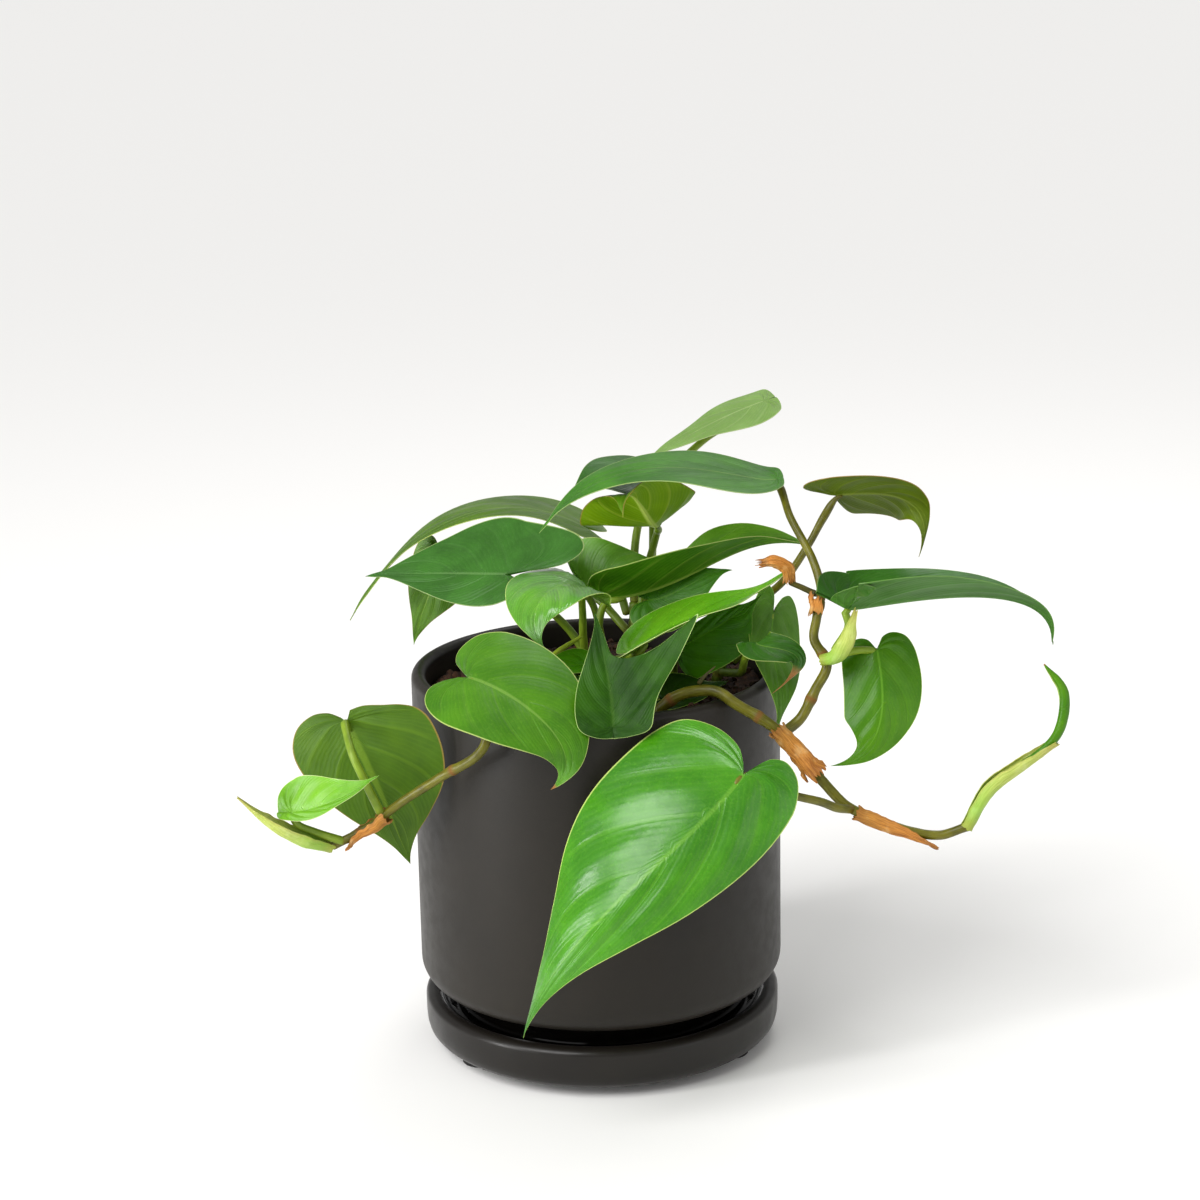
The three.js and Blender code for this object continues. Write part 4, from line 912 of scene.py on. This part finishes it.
# Sheaths: part of a tube round a curve, open towards one side, thin and wrinkled. Arc: how many
# degrees of the tube there are, from the start to the end.
sheaths = [
    {"name": "sheath_left_dry", "look": "dry", "slot": "dry_sheath", "arc": [250, 240, 200, 120],
     "open": [0.3, 0, 1], "radii": [2.3, 2.3, 2.2, 2.6], "rough": 1.5,
     "path": [[-70.5, -50, 95.2], [-75, -50, 92], [-80, -50, 89.5], [-84, -50, 87.3]]},
    {"name": "sheath_left_pale", "look": "pale", "slot": "pale_sheath", "arc": [230, 210, 190, 120],
     "open": [0.2, 0, 1], "radii": [1.8, 3.4, 3.2, 2, 0.4], "rough": 0.4,
     "path": [[-88.4, -50.2, 85.2], [-98, -54, 91], [-107, -57, 97.5], [-116, -60, 106]]},
    {"name": "sheath_front_dry", "look": "dry", "slot": "dry_sheath", "arc": [230, 250, 200],
     "open": [0, 1, 0.1], "radii": [2.3, 2.5, 3.2], "rough": 1.7,
     "path": [[59, -53, 123], [66, -54, 115], [71, -56, 109.3]]},
    {"name": "sheath_right_dry", "look": "dry", "slot": "dry_sheath", "arc": [240, 230, 170, 60],
     "open": [0, 0.6, 1], "radii": [2.2, 2.4, 2.3, 2.2], "rough": 1.3,
     "path": [[84.5, -60.8, 97], [92, -62, 94], [102, -64, 91], [110, -65.5, 88.6]]},
    {"name": "sheath_tip_pale", "look": "pale", "slot": "pale_sheath", "arc": [330, 300, 250, 170],
     "open": [-0.6, 0, 0.7], "radii": [1.5, 2, 2.1, 1.8], "rough": 0.5, "into": (1.6, 0.4),
     "path": [[120.1, -65, 93.6], [126.5, -64, 105], [137.5, -63, 113.5], [147.5, -62, 120.5]]},
    {"name": "sheath_right_pale", "look": "pale", "slot": "pale_sheath", "arc": [240, 220, 190, 130],
     "open": [1, 0.6, 0.6], "radii": [1.2, 2.4, 2.1, 0.2], "rough": 0.5,
     "path": [[74.5, -45.2, 144.2], [78, -46.9, 145.6], [82.3, -47.5, 151.5], [85, -48, 161]]},
    {"name": "sheath_knot_dry", "look": "dry", "slot": "dry_sheath", "arc": [200, 170], "open": [1, 0.3, 0.2],
     "radii": [2.1, 2.9], "rough": 1.5, "path": [[73.5, -37.5, 158.3], [74.3, -36.3, 161.8]]},
    {"name": "sheath_curled_dry", "look": "dry", "slot": "dry_sheath", "arc": [110, 130, 120, 80],
     "open": [0, 1, 0.2], "radii": [1.4, 1.9, 1.9, 1.1], "rough": 1.6,
     "path": [[65.2, -20.4, 165.3], [64.6, -20.5, 169.5], [60.5, -20.5, 172.3], [56, -20, 171.8]]},
]

sheathSkin = {
    "thickness": 0.28, "columns": 30, "step": 0.6, "gap": 0.3, "wrinkle": 0.3, "ragged": 2.2, "edge": 0.16,
    "seedStep": 7.3, "startFlare": 1.6, "endFlare": 2.2, "flare": 0.35, "edgeLift": 0.5, "edgeFrom": 0.6,
    "tornEnd": 0.2, "tornStart": 0.15, "startShare": 0.6,
}


def makeSheath(sheath, material, index):
    skin, rough = sheathSkin, sheath["rough"]
    path, length = evenPath(sheath["path"], skin["step"], sheath.get("into", (0.4, 0.4)))
    opening, seed = Vector(sheath["open"]), index * skin["seedStep"]
    columns, last = skin["columns"], len(path) - 1
    vertices, table = [], {"run": [], "turn": [], "tip": [], "grown": []}

    def edgeWidth(t, offset):
        return 1 + skin["edge"] * rough * noise.noise(Vector((t * length * 0.35, seed + offset, 0)))

    for layer in (0, 1):
        for i, (point, (tangent, _, _)) in enumerate(zip(path, turnFrames(path))):
            t = i / last
            run = t * length
            back = -(opening - tangent * opening.dot(tangent)).normalized()
            side = tangent.cross(back)
            arc = math.radians(blendValues(sheath["arc"], t))
            widths = edgeWidth(t, 0), edgeWidth(t, 3)
            flare = max(0.0, 1 - run / skin["startFlare"]) + max(0.0, 1 - (1 - t) * length / skin["endFlare"])
            torn = max(0.0, (t - 1 + skin["tornEnd"]) / skin["tornEnd"])
            torn -= skin["startShare"] * max(0.0, (skin["tornStart"] - t) / skin["tornStart"])
            for k in range(columns + 1):
                s = k / columns
                out = abs(s - 0.5) * 2
                angle = arc * (s - 0.5) * (widths[0] if s < 0.5 else widths[1])
                wrinkle = noise.noise(Vector((run * 0.16, s * 6, seed)))
                wrinkle += 0.5 * noise.noise(Vector((run * 0.5, s * 15, seed)))
                radius = blendValues(sheath["radii"], t) + skin["gap"] + skin["wrinkle"] * rough * wrinkle
                radius += rough * (skin["edgeLift"] * max(0, out - skin["edgeFrom"]) + skin["flare"] * flare)
                radius += skin["thickness"] * (layer - 0.5)
                ragged = noise.noise(Vector((s * 9, seed, 0))) + 0.6 * noise.noise(Vector((s * 31, seed, 5)))
                reach = skin["ragged"] * rough * ragged * torn
                vertices.append(onCircle(point + tangent * reach, back, side, radius, angle))
                for key, value in (("run", run), ("turn", s), ("tip", max(t, 1 - t * 1.6, out * 0.9)), ("grown", t)):
                    table[key].append(value)
    faces, _ = shellFaces(last, columns)
    piece = newPiece(sheath["name"], vertices, faces, [material], sheath["slot"], attributes=table)
    cleanPiece(piece, smoothAngle, merge=False)


# Pot and saucer: turned shapes, made from a circle that is extruded and scaled up the profile.
pot = {
    "radius": 63.5, "wall": 5, "rimHeight": 131.5, "bodyBottom": 20.3, "edgeRound": 8, "footRadius": 51.5,
    "footBottom": 11.8, "footRing": 14, "footRound": 1.2, "shoulder": 0.8, "glazeOver": 0.5, "floor": 26,
    "floorRound": 6, "drain": 7, "drainEdge": 0.6, "bands": [60, 100], "sides": 160,
}
saucer = {
    "radius": 62.4, "height": 15.3, "well": 11.5, "wellRadius": 56, "crown": 2.4, "crownSteps": 14, "sides": 160,
    "underside": [
        (0.4, 0), (20, 0), (54, 0), (56.5, 0.15), (58.8, 0.6), (60.5, 1.4), (61.6, 2.8), (62.2, 5), (62.4, 8),
    ],
    "wellEdge": [(55.6, 12.4), (55.1, 11.9), (54.4, 11.6)], "wellFloor": [53.4, 20, 0.4],
    "glazeFrom": 11, "glazeOver": 1.5,
}
feet = {"radius": 6.5, "height": 3.4, "circle": 50, "angles": [-28, 92, 212], "edge": 0.5, "sides": 64}


def arcPoints(cx, cz, radius, start, end, count):
    turns = [math.radians(start + (end - start) * i / count) for i in range(count + 1)]
    return [(cx + radius * math.cos(turn), cz + radius * math.sin(turn)) for turn in turns]


def turnedPiece(name, profile, sides, closed, materials, isGlazed):
    # the profile is a list of (radius, height); closed ones end where they start
    bpy.ops.object.select_all(action="DESELECT")
    radius, height = profile[0]
    bpy.ops.mesh.primitive_circle_add(vertices=sides, radius=radius * mm, location=(0, 0, 0))
    piece = bpy.context.object
    piece.name = piece.data.name = name
    bpy.ops.object.mode_set(mode="EDIT")
    bpy.ops.mesh.select_all(action="SELECT")
    bpy.ops.transform.translate(value=(0, 0, height * mm))
    for nextRadius, nextHeight in profile[1:]:
        bpy.ops.mesh.extrude_region_move(TRANSFORM_OT_translate={"value": (0, 0, (nextHeight - height) * mm)})
        scale = nextRadius / radius
        bpy.ops.transform.resize(value=(scale, scale, 1), center_override=(0, 0, nextHeight * mm))
        radius, height = nextRadius, nextHeight
    if not closed:
        bpy.ops.mesh.edge_face_add()
        bpy.ops.mesh.select_all(action="SELECT")
        bpy.ops.mesh.fill_holes(sides=0)
    bpy.ops.object.mode_set(mode="OBJECT")
    for material in materials:
        piece.data.materials.append(material)
    cleanPiece(piece, crispAngle)
    for face in piece.data.polygons:
        face.material_index = int(isGlazed(face.center / mm))
    return piece


def makePot(body, glaze):
    inner, lip = pot["radius"] - pot["wall"], pot["wall"] / 2
    low, floor, edge, foot = pot["footBottom"], pot["floor"], pot["edgeRound"], pot["footRound"]
    drain, drainTop = pot["drain"], (pot["drain"], pot["footBottom"] + pot["drainEdge"])
    profile = [
        drainTop, (drain + pot["drainEdge"], low), (pot["footRadius"] - pot["footRing"], low),
        *arcPoints(pot["footRadius"] - foot, low + foot, foot, -90, 0, 4),
        (pot["footRadius"], pot["bodyBottom"] - pot["shoulder"]),
        (pot["footRadius"] + pot["shoulder"], pot["bodyBottom"]),
        *arcPoints(pot["radius"] - edge, pot["bodyBottom"] + edge, edge, -90, 0, 12),
        *[(pot["radius"], band) for band in pot["bands"]],
        *arcPoints(pot["radius"] - lip, pot["rimHeight"] - lip, lip, 0, 180, 14),
        *[(inner, band) for band in reversed(pot["bands"])],
        *arcPoints(inner - pot["floorRound"], floor + pot["floorRound"], pot["floorRound"], 0, -90, 6),
        (drain, floor), drainTop,
    ]
    glazeTop = pot["bodyBottom"] + pot["glazeOver"]
    piece = turnedPiece("potBody", profile, pot["sides"], True, [body, glaze], lambda at: at.z < glazeTop)
    register(piece, "pot", "pot")


def makeSaucer(body, glaze):
    rim, crown, steps = (saucer["radius"] - saucer["wellRadius"]) / 2, saucer["crown"], saucer["crownSteps"]
    turns = [math.pi * i / steps for i in range(steps + 1)]
    rimPoints = [(saucer["radius"] - rim + rim * math.cos(turn), saucer["height"] - crown + crown * math.sin(turn))
                 for turn in turns]
    profile = [*saucer["underside"], *rimPoints, *saucer["wellEdge"],
               *[(radius, saucer["well"]) for radius in saucer["wellFloor"]]]
    reach = saucer["wellRadius"] + saucer["glazeOver"]
    piece = turnedPiece("saucerBody", profile, saucer["sides"], False, [body, glaze],
                        lambda at: at.z > saucer["glazeFrom"] and math.hypot(at.x, at.y) < reach)
    register(piece, "saucer", "saucer")


def makeFeet(material):
    for i, degrees in enumerate(feet["angles"], 1):
        angle = math.radians(degrees)
        place = Vector((feet["circle"] * math.cos(angle), feet["circle"] * math.sin(angle), -feet["height"] / 2)) * mm
        bpy.ops.object.select_all(action="DESELECT")
        bpy.ops.mesh.primitive_cylinder_add(vertices=feet["sides"], radius=feet["radius"] * mm,
                                            depth=feet["height"] * mm, location=place)
        piece = bpy.context.object
        piece.name = piece.data.name = f"saucerFoot{i}"
        bpy.ops.object.transform_apply(location=True, rotation=False, scale=False)
        bevel = piece.modifiers.new("softEdge", "BEVEL")
        bevel.width, bevel.segments, bevel.limit_method = feet["edge"] * mm, 3, "ANGLE"
        bpy.ops.object.modifier_apply(modifier="softEdge")
        piece.data.materials.append(material)
        bpy.ops.object.shade_smooth_by_angle(angle=math.radians(40))
        register(piece, f"saucer_foot_{i}", "foot")


# Potting mix: a lumpy top on a plain body, with loose crumbs and strips of bark half sunk in it.
soil = {
    "radius": 57.9, "top": 123.5, "swell": 1.4, "ripple": 0.5, "sink": 0.6, "bottom": 33.3, "rings": 44,
    "spokes": 110, "crumbs": 2600, "crumbRange": (0.35, 1.0), "crumbGrowth": 1.9, "leastCrumb": 0.25,
    "bark": 150, "barkScale": 0.7, "barkStretch": (2.2, 4.5), "margin": 2, "bury": 0.5, "jitter": 0.22,
    "seed": 7,
}


def soilHeight(x, y):
    swell = math.sin(0.19 * x + 1.1) * math.cos(0.23 * y) - 0.35
    return soil["top"] + soil["swell"] * swell + soil["ripple"] * math.sin(0.61 * x - 0.5 * y)


def soilBody():
    rings, spokes = soil["rings"], soil["spokes"]
    circle = [(math.cos(2 * math.pi * s / spokes), math.sin(2 * math.pi * s / spokes)) for s in range(spokes)]
    vertices, faces = [(0, 0, soilHeight(0, 0) - soil["sink"])], []
    for r in range(1, rings + 1):
        radius = soil["radius"] * r / rings
        for x, y in [(radius * cx, radius * cy) for cx, cy in circle]:
            rough = noise.noise(Vector((x, y, 3)) * 0.45) * 0.9 + noise.noise(Vector((x, y, 9)) * 1.1) * 0.5
            vertices.append((x, y, soilHeight(x, y) - soil["sink"] + rough))
    low = len(vertices)
    vertices += [(soil["radius"] * cx, soil["radius"] * cy, soil["bottom"]) for cx, cy in circle]
    for s in range(spokes):
        n = (s + 1) % spokes
        faces.append((0, 1 + s, 1 + n))
        for a in range(1, low, spokes):
            faces.append((a + s, a + spokes + s, a + spokes + n, a + n))
    faces.append(tuple(reversed(range(low, low + spokes))))
    return vertices, faces


def makeSoil(material):
    chance = random.Random(soil["seed"])
    vertices, faces = soilBody()
    ball = bmesh.new()
    bmesh.ops.create_icosphere(ball, subdivisions=1, radius=1)
    corners = [v.co.copy() for v in ball.verts]
    ballFaces = [[v.index for v in f.verts] for f in ball.faces]
    ball.free()
    for k in range(soil["crumbs"] + soil["bark"]):
        reach = math.sqrt(chance.random()) * (soil["radius"] - soil["margin"])
        angle = chance.random() * 2 * math.pi
        x, y = reach * math.cos(angle), reach * math.sin(angle)
        size = chance.uniform(*soil["crumbRange"]) ** 2 * soil["crumbGrowth"] + soil["leastCrumb"]
        if k >= soil["crumbs"]:
            stretch = chance.uniform(*soil["barkStretch"])
            shape = Vector((size * stretch, size * 0.8, size * 0.5)) * soil["barkScale"]
        else:
            shape = Vector((size, size * chance.uniform(0.6, 1), size * chance.uniform(0.5, 0.9)))
        spin = Euler([chance.uniform(-0.5, 0.5), chance.uniform(-0.4, 0.4), chance.uniform(0, 6.3)]).to_matrix()
        centre = Vector((x, y, soilHeight(x, y) - soil["bury"] + 0.25 * shape.z))
        start = len(vertices)
        for corner in corners:
            swell = 1 + chance.uniform(-soil["jitter"], soil["jitter"])
            vertices.append(centre + spin @ (corner * shape * swell))
        faces += [tuple(start + i for i in face) for face in ballFaces]
    piece = newPiece("soil", vertices, faces, [material], "soil", name="pottingMix")
    cleanPiece(piece, crispAngle, merge=False, outwards=False)


def addCamera():
    bpy.ops.object.camera_add(location=[v * mm for v in camera["place"]])
    view = bpy.context.object
    view.name = "photographView"
    pitch, roll = math.radians(90 - camera["down"]), math.radians(camera["roll"])
    view.rotation_euler = (Matrix.Rotation(pitch, 3, "X") @ Matrix.Rotation(roll, 3, "Z")).to_euler()
    view.data.lens, view.data.sensor_width = camera["lens"], camera["sensor"]
    view.data.clip_start, view.data.clip_end = camera["clip"]
    bpy.context.scene.camera = view


def addStudio():
    world = bpy.data.worlds.new("softBox")
    bpy.context.scene.world = world
    world.use_nodes = True
    background = world.node_tree.nodes["Background"]
    background.inputs["Color"].default_value = linear(studio["worldColour"])
    background.inputs["Strength"].default_value = studio["worldStrength"]
    bpy.ops.object.select_all(action="DESELECT")
    bpy.ops.mesh.primitive_plane_add(size=studio["floorSize"] * mm, location=(0, 0, studio["floorHeight"] * mm))
    floor = bpy.context.object
    floor.name = "paleFloor"
    floor.data.materials.append(floorMaterial())
    bpy.ops.object.light_add(type="SUN", rotation=[math.radians(v) for v in studio["keyTurn"]])
    key = bpy.context.object
    key.name = "softKey"
    key.data.energy, key.data.angle = studio["keyStrength"], math.radians(studio["keySpread"])
    for name, place, target, size, watts in studio["lamps"]:
        bpy.ops.object.light_add(type="AREA", location=[v * mm for v in place])
        lamp = bpy.context.object
        lamp.name = name
        lamp.data.shape = "RECTANGLE"
        lamp.data.size, lamp.data.size_y = size[0] * mm, size[1] * mm
        lamp.data.energy = watts
        lamp.rotation_euler = (Vector(target) - Vector(place)).to_track_quat("-Z", "Y").to_euler()
    bpy.context.scene.view_settings.view_transform = "Standard"


addCamera()
addStudio()
print("camera and studio set")

stoneware = {name: stonewareMaterial(f"{name}Stoneware", look) for name, look in potLooks.items()}
makePot(stoneware["body"], stoneware["glaze"])
makeSaucer(stoneware["saucer"], stoneware["glaze"])
makeFeet(rubberMaterial())
makeSoil(soilMaterial())
print("pot, saucer, feet and soil made")

upper = {name: upperLeafMaterial(f"{name}LeafUpper", look) for name, look in leafLooks.items()}
under = {name: underLeafMaterial(f"{name}LeafUnder", look) for name, look in leafLooks.items()}
skins = {name: stemMaterial(f"{name}StemSkin", look) for name, look in stemLooks.items()}
papers = {name: sheathMaterial(f"{name}Sheath", look) for name, look in sheathLooks.items()}

for index, row in enumerate(leaves):
    leaf = {**leafDefaults, **row}
    makeLeaf(leaf, index, [upper[leaf["look"]], under[leaf["look"]], skins[leaf["stalk"]]])
print(len(leaves), "leaves made")

for stem in stems:
    makeStem(stem, skins[stem["look"]])
makeRolledLeaf(rolledLeaf, [upper["ripe"], under["bright"]])
for index, sheath in enumerate(sheaths):
    makeSheath(sheath, papers[sheath["look"]], index)
print("stems and sheaths made")

for material in list(bpy.data.materials):
    if not material.users:
        bpy.data.materials.remove(material)
